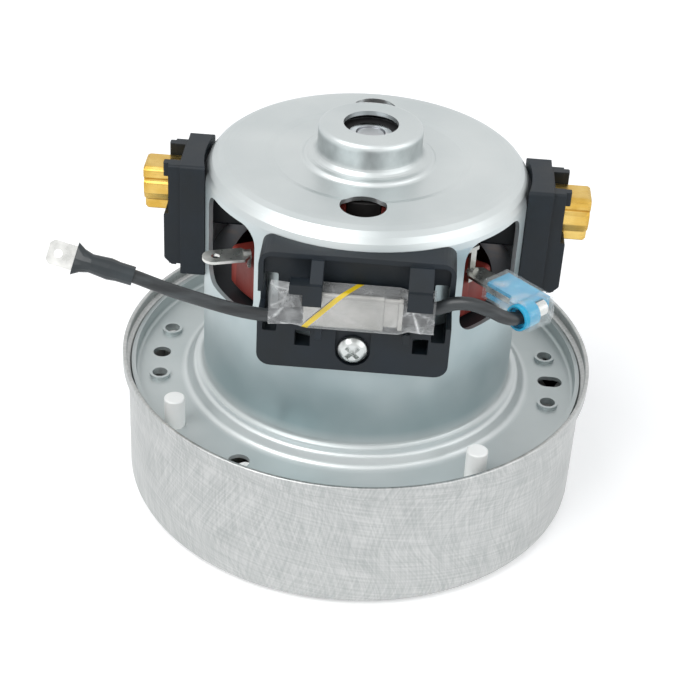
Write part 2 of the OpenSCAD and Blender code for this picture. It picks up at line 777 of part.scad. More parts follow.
module armature_windings() {
    winding_r = armature_r - 1.4;
    inner_r = shaft_r + 1.4;
    insulation = 0.05;
    color([0.62, 0.3, 0.14]) union() {
        turned(closed_path([
            [inner_r, core_top + insulation, 0], [winding_r, core_top + insulation, 1],
            [winding_r - 0.6, core_top + winding_h - 2, 3], [inner_r + 4, core_top + winding_h, 2],
            [inner_r, core_top + winding_h - 1, 1]
        ]));
        turned(closed_path([
            [inner_r, core_z - insulation, 0], [inner_r, core_z - lower_winding_h + 1, 1],
            [inner_r + 4, core_z - lower_winding_h, 2], [winding_r - 0.6, core_z - lower_winding_h + 2, 3],
            [winding_r, core_z - insulation, 1]
        ]));
        translate([0, 0, core_z - 1]) linear_extrude(core_h + 2) slot_shapes(armature_r, 0.3);
    }
}

module commutator_bars() {
    bar_in = commutator_r - 3;
    riser_r = commutator_r + 2;
    slit = 0.5;
    color([0.78, 0.45, 0.25]) difference() {
        turned([
            [bar_in, bars_z - riser_h], [riser_r, bars_z - riser_h], [riser_r, bars_z],
            [commutator_r, bars_z], [commutator_r, bars_z + bars_h], [bar_in, bars_z + bars_h]
        ]);
        for (k = [0:bar_count - 1]) rotate([0, 0, k * 360 / bar_count])
            translate([bar_in - 1, -slit / 2, bars_z - riser_h - 1]) cube([riser_r, slit, bars_h + riser_h + 2]);
    }
}

module commutator_hub() {
    color([0.13, 0.12, 0.12])
        ring_solid(shaft_r + seat, commutator_r - 3 - seat, bars_z - riser_h - 0.6, bars_z + bars_h + 0.8);
}

// Ball bearing pieces, with the bearing's underside at height z
module bearing_outer(z) {
    color([0.7, 0.71, 0.73]) translate([0, 0, z]) difference() {
        ring_solid(bearing_r - ring_wall, bearing_r, 0, bearing_w);
        rotate_extrude() translate([ball_pitch_r, bearing_w / 2]) circle(r = ball_r + groove_gap);
    }
}

module bearing_inner(z) {
    color([0.75, 0.76, 0.78]) translate([0, 0, z]) difference() {
        ring_solid(bearing_bore_r + 0.01, bearing_bore_r + ring_wall, 0, bearing_w);
        rotate_extrude() translate([ball_pitch_r, bearing_w / 2]) circle(r = ball_r + groove_gap);
    }
}

module bearing_balls(z) {
    color([0.8, 0.81, 0.82]) for (k = [0:ball_count - 1])
        rotate([0, 0, k * 360 / ball_count]) translate([ball_pitch_r, 0, z + bearing_w / 2]) sphere(r = ball_r);
}

module bearing_seals(z) {
    seal_t = 0.8;
    color([0.1, 0.1, 0.1]) for (level = [z + 0.2, z + bearing_w - 0.2 - seal_t])
        ring_solid(bearing_bore_r + ring_wall + 0.15, bearing_r - ring_wall - 0.02, level, level + seal_t);
}

module bearing_sleeve() {
    top = boss_top - frame_sheet - seat;
    color([0.08, 0.08, 0.09]) turned([
        [bearing_r + seat, upper_bearing_z], [boss_r - frame_sheet - seat, upper_bearing_z],
        [boss_r - frame_sheet - seat, top - 0.4], [boss_r - frame_sheet - seat - 0.4, top], [bearing_r - 1.2, top],
        [bearing_r - 1.2, upper_bearing_z + bearing_w + seat],
        [bearing_r + seat, upper_bearing_z + bearing_w + seat]
    ]);
}

// Stator
module stator_core() {
    tip_out = bore_r + 3.4;
    open_half = 25;
    slot_half = 52;
    color([0.5, 0.5, 0.52]) difference() {
        translate([0, 0, core_z]) linear_extrude(core_h) difference() {
            intersection() {
                circle(r = skirt_in - seat);
                square([2 * skirt_in, core_flats], center = true);
            }
            circle(r = bore_r);
        }
        for (side = [0, 180]) {
            sector(bore_r - 1, yoke_in, side - open_half, side + open_half, core_z - 1, core_top + 1);
            sector(tip_out, yoke_in, side - slot_half, side + slot_half, core_z - 1, core_top + 1);
        }
    }
}

module stator_insulator() {
    wall_in = bore_r + 0.4;
    wall_out = bore_r + 2;
    plate_rim = yoke_in - 0.4;
    plate_t = 0.8;
    tongue_top = frame_h - sunk_d - frame_sheet - 0.7;
    color([0.1, 0.1, 0.11]) for (a = [-90, 90]) union() {
        sector(wall_in, plate_rim, a - 37, a + 37, core_top + seat, core_top + seat + plate_t);
        sector(wall_in, wall_out, a - coil_half_angle, a + coil_half_angle, core_top + seat, core_top + former_rise);
        intersection() {
            ring_solid(wall_in, wall_out, core_top + former_rise - 2, tongue_top);
            rotate([0, 0, a]) block(0, wall_out + 1, -tongue_w / 2, tongue_w / 2, core_top, tongue_top + 1);
        }
    }
}

module field_coil(a) {
    side_in = bore_r + 3.6;
    side_out = yoke_in - 0.4;
    turn_in = bore_r + 2.2;
    low_z = core_z - 4.6;
    base = core_top + 1;
    top = core_top + coil_rise;
    leg_half = 10.5;
    leg_at = coil_half_angle - leg_half - 0.5;
    lead_at = 15;
    lead_top = frame_h - sunk_d - frame_sheet - 1.2;
    color([0.62, 0.22, 0.18]) union() {
        arc_ring(turn_in, coil_r, a - coil_half_angle, a + coil_half_angle, base, top, 1.4);
        for (s = [-1, 1])
            sector(side_in + 0.3, side_out - 0.3, a + s * leg_at - leg_half, a + s * leg_at + leg_half, core_z - 2, base + 2);
        arc_ring(side_in, side_out, a - coil_half_angle, a + coil_half_angle, low_z, core_z - 0.6, 1.2);
        for (s = [-1, 1])
            sector(turn_in + 0.1, turn_in + 1.5, a + s * lead_at - 4, a + s * lead_at + 4, top - 1, lead_top);
    }
}

// Field tab: a tab with a crimp at its root, a short leg on the coil and, where post is given, a T-shaped post
module field_tab(root_angle, root_r, side, way, length, post = 0) {
    leg_h = 3.4;
    hole_r = 1.15;
    neck = 1.5;
    tail = 2;
    color([0.82, 0.83, 0.83]) translate([root_r * cos(root_angle), root_r * sin(root_angle), flag_z])
        rotate([0, 0, way]) translate([0, side, 0]) difference() {
            union() {
                translate([0, 0, -blade_t / 2]) linear_extrude(blade_t) rounded([
                    [0, -neck, 0], [0.5, -neck, 0], [2, -blade_w / 2, 0.5], [length, -blade_w / 2, 3],
                    [length, blade_w / 2, 3], [2, blade_w / 2, 0.5], [0.5, neck, 0], [0, neck, 0]
                ]);
                block(0, blade_t, -1, 1, -leg_h, blade_t / 2);
                if (post > 0) {
                    block(0, blade_t, -1, 1, 0, post);
                    block(0, blade_t, -1.8, 1.8, post - 1.1, post);
                }
                translate([0, 0, 0.3]) rotate([0, 90, 0]) cylinder(r = 1.1, h = tail);
            }
            translate([length - 3.5, 0, -1]) cylinder(r = hole_r, h = 2);
        }
}

// Brush gear, drawn for the +X side
snout_w = tube_w + 2 * tube_rib + 2 * snout_wall;
snout_z0 = brush_z - tube_tall / 2 - tube_channel - snout_wall;
snout_z1 = brush_z + tube_tall / 2 + snout_wall;

// Half of the brush tube's outline, from top to bottom, as [sideways, up]
function tube_half(grow) = [
    [tube_w / 2, tube_tall / 2 + grow, 0.6],
    [tube_w / 2 + tube_rib + grow, tube_tall / 2 - 0.9, 0.6],
    [tube_w / 2 + tube_rib + grow, tube_tall / 2 - 3, 0.6],
    [tube_w / 2 + grow + 0.2, tube_tall / 2 - 4, 0.5],
    [tube_w / 2 + tube_rib + grow - 0.2, tube_tall / 2 - 5, 0.6],
    [tube_w / 2 + tube_rib + grow - 0.2, tube_tall / 2 - 7.8, 0.6],
    [tube_w / 2 + grow, -tube_tall / 2 + 1, 0.6],
    [tube_w / 2 - 1.6 + grow, -tube_tall / 2 - grow, 0.5],
    [tube_w / 2 - 1.8 + grow, -tube_tall / 2 - tube_channel - grow, 0.4]
];
function tube_outline(grow) = concat(
    tube_half(grow),
    [for (p = reverse(tube_half(grow))) [-p.x, p.y, p.z]]
);

module tube_section(grow) {
    translate([0, brush_z]) rounded(tube_outline(grow));
}

module tube_bore(gap) {
    translate([0, brush_z]) square([brush_w + 2 * gap, brush_tall + 2 * gap], center = true);
}

module brush_tube() {
    end_wall = tube_sheet;
    end_step = 0.35;
    channel_w = tube_w - 3.6 - 2 * tube_sheet;
    color([0.85, 0.7, 0.3]) difference() {
        union() {
            radial(0, tube_in, tube_out - 2 * end_step) tube_section(0);
            radial(0, tube_out - 2 * end_step - 0.1, tube_out - end_step) tube_section(-0.12);
            radial(0, tube_out - end_step - 0.1, tube_out) tube_section(-0.4);
        }
        radial(0, tube_in - 1, tube_out - end_wall) tube_bore(slide);
        radial(0, tube_in - 1, tube_out - 6)
            translate([0, brush_z - tube_tall / 2 - tube_channel / 2 + 0.6])
                square([channel_w, tube_channel], center = true);
    }
}

module holder_body() {
    half = holder_w / 2;
    plate_half = plate_w / 2;
    top = holder_z + holder_h;
    cheek_top = top - 1.1;
    step_top = holder_z + 18;
    plate_low = holder_z + 2;
    slope = 3.4;
    radial(0, frame_r - 8, holder_block_x) rounded(rect_points(-half, half, holder_z, top, 1));
    radial(0, holder_block_x - 1, holder_plate_x)
        rounded(rect_points(-plate_half, plate_half, plate_low, cheek_top, 0.8));
    rotate([90, 0, 0]) translate([0, 0, -plate_half]) linear_extrude(plate_w) rounded([
        [holder_plate_x - 2, plate_low, 0], [holder_step_x - 2, plate_low, 1.2],
        [holder_step_x, plate_low + 2, 1], [holder_step_x, step_top, 0.5], [holder_plate_x - 2, step_top, 0]
    ]);
    for (s = [-1, 1]) translate([0, s * (snout_w / 2 - 0.2), 0])
        block(holder_plate_x - 1, holder_plate_x + 1.5, -1.1, 1.1, cheek_top - 4, cheek_top, 0.4);
}

module brush_holder() {
    top = holder_z + holder_h;
    fit = 0.12;
    color([0.16, 0.17, 0.18]) difference() {
        union() {
            difference() {
                holder_body();
                translate([0, 0, holder_z - 1]) cylinder(r = frame_r + fit, h = holder_h + 2);
            }
            radial(0, commutator_r + 9.5, frame_r + 2)
                rounded(rect_points(-snout_w / 2, snout_w / 2, snout_z0, snout_z1, 0.8));
        }
        radial(0, 0, holder_step_x + 5) tube_section(seat);
        block(holder_block_x + 0.6, holder_step_x + 3, -snout_w / 2 + 1.4, snout_w / 2 - 1.4,
              brush_z + tube_tall / 2 - 1, top + 1);
    }
}

module carbon_brush() {
    front = commutator_r + seat;
    color([0.2, 0.2, 0.21]) difference() {
        radial(0, front - 2, brush_back) tube_bore(0);
        translate([0, 0, brush_z - brush_tall]) cylinder(r = front, h = 2 * brush_tall);
    }
}

// Brush spring: one unbroken wire helix between the brush and the tube's closed end
spring_turns = 8;
spring_wire = 0.45;
spring_coil_r = 2.3;
function spring_path() = [
    for (i = [0:spring_turns * 8])
        let (t = i / (spring_turns * 8))
        [
            brush_back + spring_wire + 0.1 + t * (tube_out - tube_sheet - brush_back - 2 * spring_wire - 0.2),
            spring_coil_r * cos(360 * spring_turns * t),
            brush_z + spring_coil_r * sin(360 * spring_turns * t)
        ]
];

// Least gap of the wire to itself, measured between points that lie about one turn apart
spring_points = spring_path();
spring_gap = min([
    for (i = [0:len(spring_points) - 1])
        for (j = [i + 5:1:min(i + 12, len(spring_points) - 1)])
            norm(spring_points[i] - spring_points[j])
]) - 2 * spring_wire;
echo(spring_gap = spring_gap);

// A ring of a helix along X, with its sides measured from the helix's axis
function coil_ring(p, k, r, sides) =
    let (
        t = unit(p[min(len(p) - 1, k + 1)] - p[max(0, k - 1)]),
        n = unit([0, p[k].y, p[k].z - brush_z]),
        b = unit(cross(t, n))
    )
    [for (s = [0:sides - 1]) p[k] + r * (n * cos(360 * s / sides) + b * sin(360 * s / sides))];

module brush_spring() {
    path = spring_points;
    sides = 6;
    last = len(path) - 1;
    points = [for (k = [0:last]) each coil_ring(path, k, spring_wire, sides)];
    faces = concat(
        [[for (s = [0:sides - 1]) s]],
        [[for (s = [sides - 1:-1:0]) last * sides + s]],
        [for (k = [0:last - 1], s = [0:sides - 1])
            let (a = k * sides + s, b = k * sides + (s + 1) % sides)
            each [[a, a + sides, b + sides], [a, b + sides, b]]]
    );
    color([0.75, 0.76, 0.77]) polyhedron(points, faces);
}

// Protector holder: a shallow frame that sits on the skirt, with a pocket, clips and a screw recess
module holder_outline(inset = 0) {
    rounded(rect_points(-bracket_w / 2 + inset, bracket_w / 2 - inset, bracket_z + inset,
                        bracket_z + bracket_h - inset, bracket_corner - inset));
}

// Prisms along Y, from the near face y0 back to y1, drawn in (x, z)
module facing(y0, y1) {
    translate([0, y1, 0]) rotate([90, 0, 0]) linear_extrude(y1 - y0) children();
}

module clip(x0, x1, tongue_x0, tongue_x1, drop, foot_x0) {
    front = -wrap_front - 0.3;
    reach = 1.6;
    top = bracket_z + bracket_h - 1.2;
    rest = wrap_z + wrap_tall + 0.3;
    translate([x0, 0, 0]) rotate([90, 0, 90]) linear_extrude(x1 - x0) rounded([
        [-front_y + 1, top - 2.2, 0], [-front_y + 1, top, 0], [-front_y - 0.5, top, 0.6],
        [front - reach, rest + 1.6, 0.8], [front - reach, rest, 0.4], [-front_y - 2, rest, 0.6]
    ]);
    facing(front - reach, front + 2.5) rounded(rect_points(foot_x0, x1, rest, rest + 2.6, 0.4));
    translate([tongue_x0, 0, 0]) rotate([90, 0, 90]) linear_extrude(tongue_x1 - tongue_x0) rounded([
        [front, rest + 0.8, 0], [front - reach, rest + 0.8, 0], [front - reach, rest - drop, 0.8],
        [front, rest - drop, 0.4]
    ]);
}

module protector_holder() {
    back_r = frame_r + back_gap;
    front = -front_y;
    pocket_low = wrap_z - 0.2;
    pocket_high = bracket_z + bracket_h - bracket_wall;
    end_low = wrap_z - 4;
    side_in = bracket_w / 2 - bracket_wall;
    wrap_half = wrap_len / 2;
    recess_r = screw_head_r + 0.5;
    recess_d = 1.4;
    lead_low = wrap_z + 0.4;
    slot_x = 2.1;
    slot_z = screw_z + 0.6;
    deep = frame_r - 14.6;
    color([0.24, 0.26, 0.27]) union() {
        difference() {
            facing(front, -deep) holder_outline();
            translate([0, 0, bracket_z - 1]) cylinder(r = back_r, h = bracket_h + 2);
            facing(front - 1, -wrap_back + 0.1) rounded(rect_points(-side_in, side_in, pocket_low, pocket_high, 1.6));
            for (s = [-1, 1]) {
                facing(front - 1, 6.6 - frame_r) rounded(rect_points(
                    s * (side_in - 1.8) - 1.8, s * (side_in - 1.8) + 1.8, end_low, pocket_high - 6, 0.5));
                facing(front - 1, 4.6 - frame_r) translate([s * bracket_w / 2, lead_low + 3.6]) square([6, 7.2], center = true);
                facing(front - 1, -deep) rounded(rect_points(
                    slot_x + s * 15.2 - 2, slot_x + s * 15.2 + 2, slot_z, slot_z + 4.6, 0.2));
            }
            facing(front - 1, -deep) rounded(rect_points(-14, 14, wrap_z + 1.5, wrap_z + 6.7, 0.8));
            rotate([90, 0, 0]) translate([0, screw_z, front_y - recess_d]) cylinder(r = recess_r, h = 5);
            facing(front - 1, front + recess_d) translate([-recess_r, screw_z]) square([2 * recess_r, wrap_z - screw_z]);
            rotate([90, 0, 0]) translate([0, screw_z, deep]) cylinder(r = screw_r + seat, h = deep);
        }
        clip(-11.5, -8.3, -13.1, -8.3, 3.6, -16.5);
        clip(13.1, 19.3, 13.1, 19.6, 3, 13.1);
        for (x = [-9.8, 12.6])
            facing(front - 3.2, front + 0.5) rounded(rect_points(x, x + 1.8, wrap_z - 3.6, wrap_z - 0.3, 0.3));
    }
}

module protector_screw() {
    head_h = 2.4;
    recess_d = 1.4;
    head_base = front_y - recess_d;
    arm = 0.55;
    color([0.83, 0.84, 0.84]) rotate([90, 0, 0]) translate([0, screw_z, 0]) difference() {
        union() {
            translate([0, 0, head_base]) turned(closed_path([
                [0, 0, 0], [screw_head_r, 0, 0.3], [screw_head_r, 1, 0.8], [screw_head_r - 1.4, head_h, 1.6], [0, head_h, 0]
            ]));
            translate([0, 0, skirt_in - 2]) cylinder(r = screw_r, h = head_base - skirt_in + 2.2);
        }
        for (a = [45, 135]) rotate([0, 0, a])
            translate([-2.2, -arm, head_base + 0.9]) cube([4.4, 2 * arm, 3]);
    }
}

// Thermal protector: a stepped can with a seam flange
module along_x(x0, x1) {
    translate([x0, 0, 0]) rotate([90, 0, 90]) linear_extrude(x1 - x0) children();
}

module can_section(inset) {
    play = wrap_wall + 0.15 + inset;
    rounded(rect_points(-wrap_front + play, -wrap_back - play, wrap_z + play, wrap_z + wrap_tall - play, 1.4));
}

module thermal_protector() {
    color([0.8, 0.8, 0.79]) union() {
        along_x(can_x, can_x + can_len) can_section(0);
        along_x(can_x + can_len - 1, can_x + can_len + neck_len) can_section(0.8);
        along_x(can_x + can_len + neck_len - 1.2, can_x + can_len + neck_len) can_section(0.3);
    }
}

module protector_sleeve() {
    x0 = can_x - 8.8;
    color([0.9, 0.92, 0.93, 0.4]) difference() {
        along_x(x0, x0 + wrap_len)
            rounded(rect_points(-wrap_front, -wrap_back, wrap_z, wrap_z + wrap_tall, 1.8));
        along_x(x0 - 1, x0 + wrap_len + 1) rounded(rect_points(
            -wrap_front + wrap_wall, -wrap_back - wrap_wall, wrap_z + wrap_wall,
            wrap_z + wrap_tall - wrap_wall, 1.8 - wrap_wall));
    }
}

// Leads and their terminals
function even(path, r) = [for (p = path) r];
function at_barrel(y) = [cos(flag_angle) * barrel_x - sin(flag_angle) * y, sin(flag_angle) * barrel_x + cos(flag_angle) * y, flag_z];
left_path = route(LEFT_ROUTE, 3);
right_path = route(concat(RIGHT_ROUTE, [at_barrel(boot_y), at_barrel(barrel_y0 + 1)]), 3);

module lead_left() {
    color([0.14, 0.14, 0.15]) tube_along(left_path, even(left_path, lead_d / 2));
}

module lead_right() {
    color([0.14, 0.14, 0.15]) tube_along(right_path, even(right_path, lead_d / 2));
}

// The left terminal's frame: +X runs on along the lead and +Z is the blade's face, turned to the front
module at_left_end() {
    start = LEFT_ROUTE[len(LEFT_ROUTE) - 2];
    way = unit(LEFT_ROUTE[len(LEFT_ROUTE) - 1] - start);
    translate(start) rotate([0, 0, atan2(way.y, way.x)]) rotate([0, -asin(way.z), 0]) rotate([-57, 0, 0]) children();
}

// An oval shell along X from stations [distance, half width, half thickness]
module oval_shell(stations, wall, sides) {
    n = len(stations);
    function oval(q, inset) = [
        for (s = [0:sides - 1])
            [q.x, (q.y - inset) * cos(360 * s / sides), (q.z - inset) * sin(360 * s / sides)]
    ];
    points = concat(
        [for (q = stations) each oval(q, 0)],
        [for (q = reverse(stations)) each oval(q, wall)]
    );
    faces = [
        for (k = [0:2 * n - 1], s = [0:sides - 1])
            let (
                a = k * sides + s,
                b = k * sides + (s + 1) % sides,
                c = ((k + 1) % (2 * n)) * sides + s,
                d = ((k + 1) % (2 * n)) * sides + (s + 1) % sides
            )
            each [[a, c, d], [a, d, b]]
    ];
    polyhedron(points, faces);
}

module lead_left_shrink() {
    color([0.1, 0.1, 0.11]) at_left_end() oval_shell(SHRINK, shrink_wall, 16);
}

module lead_left_terminal() {
    crimp_start = norm(LEFT_ROUTE[len(LEFT_ROUTE) - 1] - LEFT_ROUTE[len(LEFT_ROUTE) - 2]) + seat;
    crimp_end = crimp_start + 4;
    half = blade_w / 2;
    tip = shrink_len + blade_show;
    color([0.9, 0.9, 0.88]) at_left_end() difference() {
        union() {
            translate([crimp_start, 0, 0]) rotate([0, 90, 0]) cylinder(r = 1.8, h = crimp_end - crimp_start);
            translate([0, 0, -blade_t / 2]) linear_extrude(blade_t) polygon([
                [crimp_end - 1, -1.5], [crimp_end + 2, -1.5], [shrink_len, -half], [tip - 1, -half], [tip, -half + 1],
                [tip, half - 1], [tip - 1, half], [shrink_len, half], [crimp_end + 2, 1.5], [crimp_end - 1, 1.5]
            ]);
        }
        translate([tip - 2.6, 0, -1]) cylinder(r = 1.1, h = 2);
    }
}

// Flag terminal on the right tab, drawn along +X: the barrel for the lead lies across it
module at_flag() {
    rotate([0, 0, flag_angle]) translate([0, 0, flag_z]) children();
}

module across(x, y0, y1, r) {
    translate([x, y1, 0]) rotate([90, 0, 0]) cylinder(r = r, h = y1 - y0);
}

module flag_receptacle() {
    sheet = 0.4;
    half = blade_w / 2 + 0.15 + sheet;
    low = -blade_t / 2 - seat - sheet;
    lip = 1.4;
    curl = blade_t / 2 + 0.3 + sheet;
    color([0.84, 0.84, 0.82]) at_flag() difference() {
        union() {
            translate([flag_start + 0.6, flag_side, 0]) rotate([90, 0, 90]) linear_extrude(receptacle_len) rounded([
                [-half, low, 0.3], [half, low, 0.3], [half, curl, 0.3], [half - lip, curl, 0.1],
                [half - lip, curl - sheet, 0], [half - sheet, curl - sheet, 0], [half - sheet, low + sheet, 0],
                [-half + sheet, low + sheet, 0], [-half + sheet, curl - sheet, 0], [-half + lip, curl - sheet, 0],
                [-half + lip, curl, 0.1], [-half, curl, 0.3]
            ]);
            block(flag_start + receptacle_len, barrel_x, flag_side - 2, flag_side + 2, low, low + sheet);
            across(barrel_x, barrel_y0, barrel_y1, barrel_r);
        }
        across(barrel_x, barrel_y0 - 1, barrel_y1 + 1, lead_d / 2 + 0.03);
    }
}

// Plan of the flag terminal's housing, grown by g
module flag_plan(x0, g) {
    polygon([
        [x0, flag_side - cover_w / 2 + 1 - g], [flag_start + 9.9, flag_side - cover_w / 2 + 1 - g],
        [flag_start + 11.3 - g, -5 - g],
        [barrel_x + 3.6 + g, -5 - g], [barrel_x + 4 + g, 2.4], [barrel_x + 1.6 + g, flag_side + cover_w / 2 - 0.6 + g],
        [x0, flag_side + cover_w / 2 - 0.6 + g]
    ]);
}

module flag_boot() {
    half = cover_t / 2 - cover_wall - 0.1;
    inside = -cover_wall - 0.1;
    x0 = flag_start + 1;
    color([0.12, 0.63, 0.91]) at_flag() difference() {
        union() {
            translate([0, 0, -half]) linear_extrude(2 * half) intersection() {
                flag_plan(x0, inside);
                translate([x0, -20]) square([barrel_x - x0 + 0.2, 40]);
            }
            across(barrel_x, boot_y, -1, boot_r);
        }
        block(x0 - 1, flag_start + receptacle_len + 0.7, flag_side - blade_w / 2 - 0.7, flag_side + blade_w / 2 + 0.7,
              -blade_t / 2 - 0.5, blade_t / 2 + 0.8);
        block(x0, barrel_x, flag_side - 2.1, flag_side + 2.1, -blade_t / 2 - 0.5, 0);
        across(barrel_x, barrel_y0 - 0.05, barrel_y1 + 0.1, barrel_r + 0.05);
        across(barrel_x, boot_y - 1, 0, lead_d / 2 + 0.25);
        across(barrel_x, boot_y - 1, boot_y + 1.4, boot_r - 0.6);
    }
}

module flag_cover() {
    half = cover_t / 2;
    sleeve_r = boot_r + 0.1 + cover_wall;
    color([0.85, 0.9, 0.93, 0.4]) at_flag() difference() {
        union() {
            translate([0, 0, -half]) linear_extrude(2 * half) flag_plan(flag_start, 0);
            across(barrel_x, -5, 3.6, sleeve_r);
        }
        translate([0, 0, -half + cover_wall]) linear_extrude(2 * (half - cover_wall)) flag_plan(flag_start - 1, -cover_wall);
        across(barrel_x, -6, 3.2, sleeve_r - cover_wall);
    }
}

module left_side() {
    rotate([0, 0, 180]) mirror([0, 1, 0]) children();
}

fan_casing();
motor_frame();
lower_bracket();
diffuser();
locating_pegs();
impeller_back_plate();
impeller_blades();
impeller_shroud();
impeller_spacer();
clamp_washer();
impeller_nut();
shaft();
armature_core();
armature_windings();
commutator_bars();
commutator_hub();
bearing_outer(upper_bearing_z);  // upper_bearing_outer
bearing_inner(upper_bearing_z);  // upper_bearing_inner
bearing_balls(upper_bearing_z);  // upper_bearing_balls
bearing_seals(upper_bearing_z);  // upper_bearing_seals
bearing_outer(lower_bearing_z);  // lower_bearing_outer
bearing_inner(lower_bearing_z);  // lower_bearing_inner
bearing_balls(lower_bearing_z);  // lower_bearing_balls
bearing_seals(lower_bearing_z);  // lower_bearing_seals
bearing_sleeve();
stator_core();
stator_insulator();
field_coil(-90);  // field_coil_front
field_coil(90);  // field_coil_rear
field_tab(left_tab_angle, tab_root_r + 0.55, 0, left_tab_way, left_tab_len);  // field_tab_left
field_tab(flag_angle, tab_root_r, flag_side, flag_angle, right_tab_len, 7);  // field_tab_right
left_side() brush_holder();  // brush_holder_left
brush_holder();  // brush_holder_right
left_side() brush_tube();  // brush_tube_left
brush_tube();  // brush_tube_right
left_side() carbon_brush();  // carbon_brush_left
carbon_brush();  // carbon_brush_right
left_side() brush_spring();  // brush_spring_left
brush_spring();  // brush_spring_right
protector_holder();
protector_screw();
thermal_protector();
protector_sleeve();
lead_left();
lead_left_shrink();
lead_left_terminal();
lead_right();
flag_receptacle();
flag_boot();
flag_cover();
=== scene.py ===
# %% [markdown]
# Vacuum motor unit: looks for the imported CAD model
#
# The CAD model comes in as a fixed frame. It already has the right sizes, so this lesson only adds
# what CAD leaves out: the finish of each material, and the pieces whose form is soft or thin, such
# as the leads, the shrunk sleeves and the crinkled clear film.

import math

import bmesh
import bpy
from mathutils import Matrix, Vector


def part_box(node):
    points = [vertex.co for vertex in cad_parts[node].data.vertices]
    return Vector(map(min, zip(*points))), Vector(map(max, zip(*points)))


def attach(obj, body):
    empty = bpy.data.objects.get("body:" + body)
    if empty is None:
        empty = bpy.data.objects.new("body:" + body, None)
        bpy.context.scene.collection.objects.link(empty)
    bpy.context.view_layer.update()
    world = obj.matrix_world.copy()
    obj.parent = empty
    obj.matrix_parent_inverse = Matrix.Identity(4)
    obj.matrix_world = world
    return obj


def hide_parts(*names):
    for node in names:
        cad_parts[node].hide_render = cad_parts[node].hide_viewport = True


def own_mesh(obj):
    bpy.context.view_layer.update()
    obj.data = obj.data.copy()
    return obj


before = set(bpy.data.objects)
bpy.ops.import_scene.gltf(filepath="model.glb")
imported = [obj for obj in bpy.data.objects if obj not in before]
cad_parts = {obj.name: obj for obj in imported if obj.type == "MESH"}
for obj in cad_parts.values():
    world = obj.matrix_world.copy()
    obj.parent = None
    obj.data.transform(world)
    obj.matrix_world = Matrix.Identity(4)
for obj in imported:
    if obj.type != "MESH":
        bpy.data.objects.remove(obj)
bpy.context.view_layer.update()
MM = 0.001

# %% [markdown]
# The camera
#
# A product picture like this is taken from a step away with a long lens, a little above the object,
# so the round rim shows as a flat oval. The camera's place, its lens and its slight roll were
# fitted to the round edges of the real unit, which is more exact than matching by eye.

# %% Camera
CAMERA_AT = Vector((8.67, -393.35, 300.48)) * MM
CAMERA_AIM = Vector((-1.89, -0.34, 39.95)) * MM
CAMERA_ROLL = math.radians(3.6)
LENS_MM = 82.58
SENSOR_MM = 36

camera_data = bpy.data.cameras.new("product_camera")
camera_data.lens = LENS_MM
camera_data.sensor_width = SENSOR_MM
camera_data.clip_start = 0.01
camera_data.clip_end = 20
camera = bpy.data.objects.new("product_camera", camera_data)
bpy.context.scene.collection.objects.link(camera)
camera.location = CAMERA_AT
look = (CAMERA_AIM - CAMERA_AT).to_track_quat("-Z", "Y").to_matrix()
camera.rotation_euler = (look @ Matrix.Rotation(CAMERA_ROLL, 3, "Z")).to_euler()
bpy.context.scene.camera = camera
print("camera distance", round((CAMERA_AIM - CAMERA_AT).length, 3))

# %% [markdown]
# The two leads
#
# Each lead is a short piece of stranded wire in a black sheath. It is made as a curve with a round
# bevel, because a curve keeps its thickness through every bend. The route repeats the points of the
# CAD model, and a Catmull-Rom curve runs through them, so the wire passes each point without a
# kink.

# %% Lead routes
# The routes, and the place of the flag terminal's barrel, are in millimetres
LEAD_D = 3.5 * MM
LEFT_ROUTE = [(-13.1, -49.5, 82.6), (-17, -49.9, 82.1), (-22.5, -50.6, 81.95), (-30, -50.9, 83),
              (-40, -50.8, 85.4), (-48, -50.8, 87.7), (-55.9, -51, 90.6), (-61.7, -51.1, 92.2)]
FLAG_ANGLE = math.radians(-45)
BARREL_X = 63.9
BOOT_Y = -6.3
BARREL_Y = -1.6
FLAG_Z = 86
STEPS_A_SPAN = 8


def at_barrel(y):
    """A point on the flag terminal's barrel axis, in millimetres."""
    c, s = math.cos(FLAG_ANGLE), math.sin(FLAG_ANGLE)
    return (c * BARREL_X - s * y, s * BARREL_X + c * y, FLAG_Z)


RIGHT_ROUTE = [(12.3, -49.5, 86.6), (16, -49.5, 86.7), (20.5, -49.8, 87.2), (24.5, -50.2, 89.2),
               (29, -50.8, 89.9), (34, -51.4, 88.7), (37.4, -51, 87), at_barrel(BOOT_Y),
               at_barrel(BARREL_Y)]


def catmull(points, steps):
    """Points on the Catmull-Rom curve through the given ones, in metres."""
    p = [Vector(q) * MM for q in points]
    made = []
    for i in range(len(p) - 1):
        a, b, c, d = p[max(0, i - 1)], p[i], p[i + 1], p[min(len(p) - 1, i + 2)]
        for k in range(steps):
            t = k / steps
            made.append(0.5 * (2 * b + (c - a) * t + (2 * a - 5 * b + 4 * c - d) * t * t
                               + (3 * b - a - 3 * c + d) * t ** 3))
    return made + [p[-1]]


def length_of(points):
    return sum((points[i + 1] - points[i]).length for i in range(len(points) - 1))


def new_object(name, data):
    piece = bpy.data.objects.new(name, data)
    bpy.context.scene.collection.objects.link(piece)
    return piece


def lead_curve(name, route):
    """A round wire of the lead's diameter along the route. Each point's radius holds the wire's own
    and the bevel is one unit deep, because Blender adds that radius to the curve's bounding box."""
    line = catmull(route, STEPS_A_SPAN)
    curve = bpy.data.curves.new(name, "CURVE")
    curve.dimensions = "3D"
    curve.bevel_depth = 1.0
    curve.bevel_resolution = 6
    curve.use_fill_caps = True
    spline = curve.splines.new("POLY")
    spline.points.add(len(line) - 1)
    for point, place in zip(spline.points, line):
        point.co = (*place, 1)
        point.radius = LEAD_D / 2
    spline.use_smooth = True
    return new_object(name, curve), line


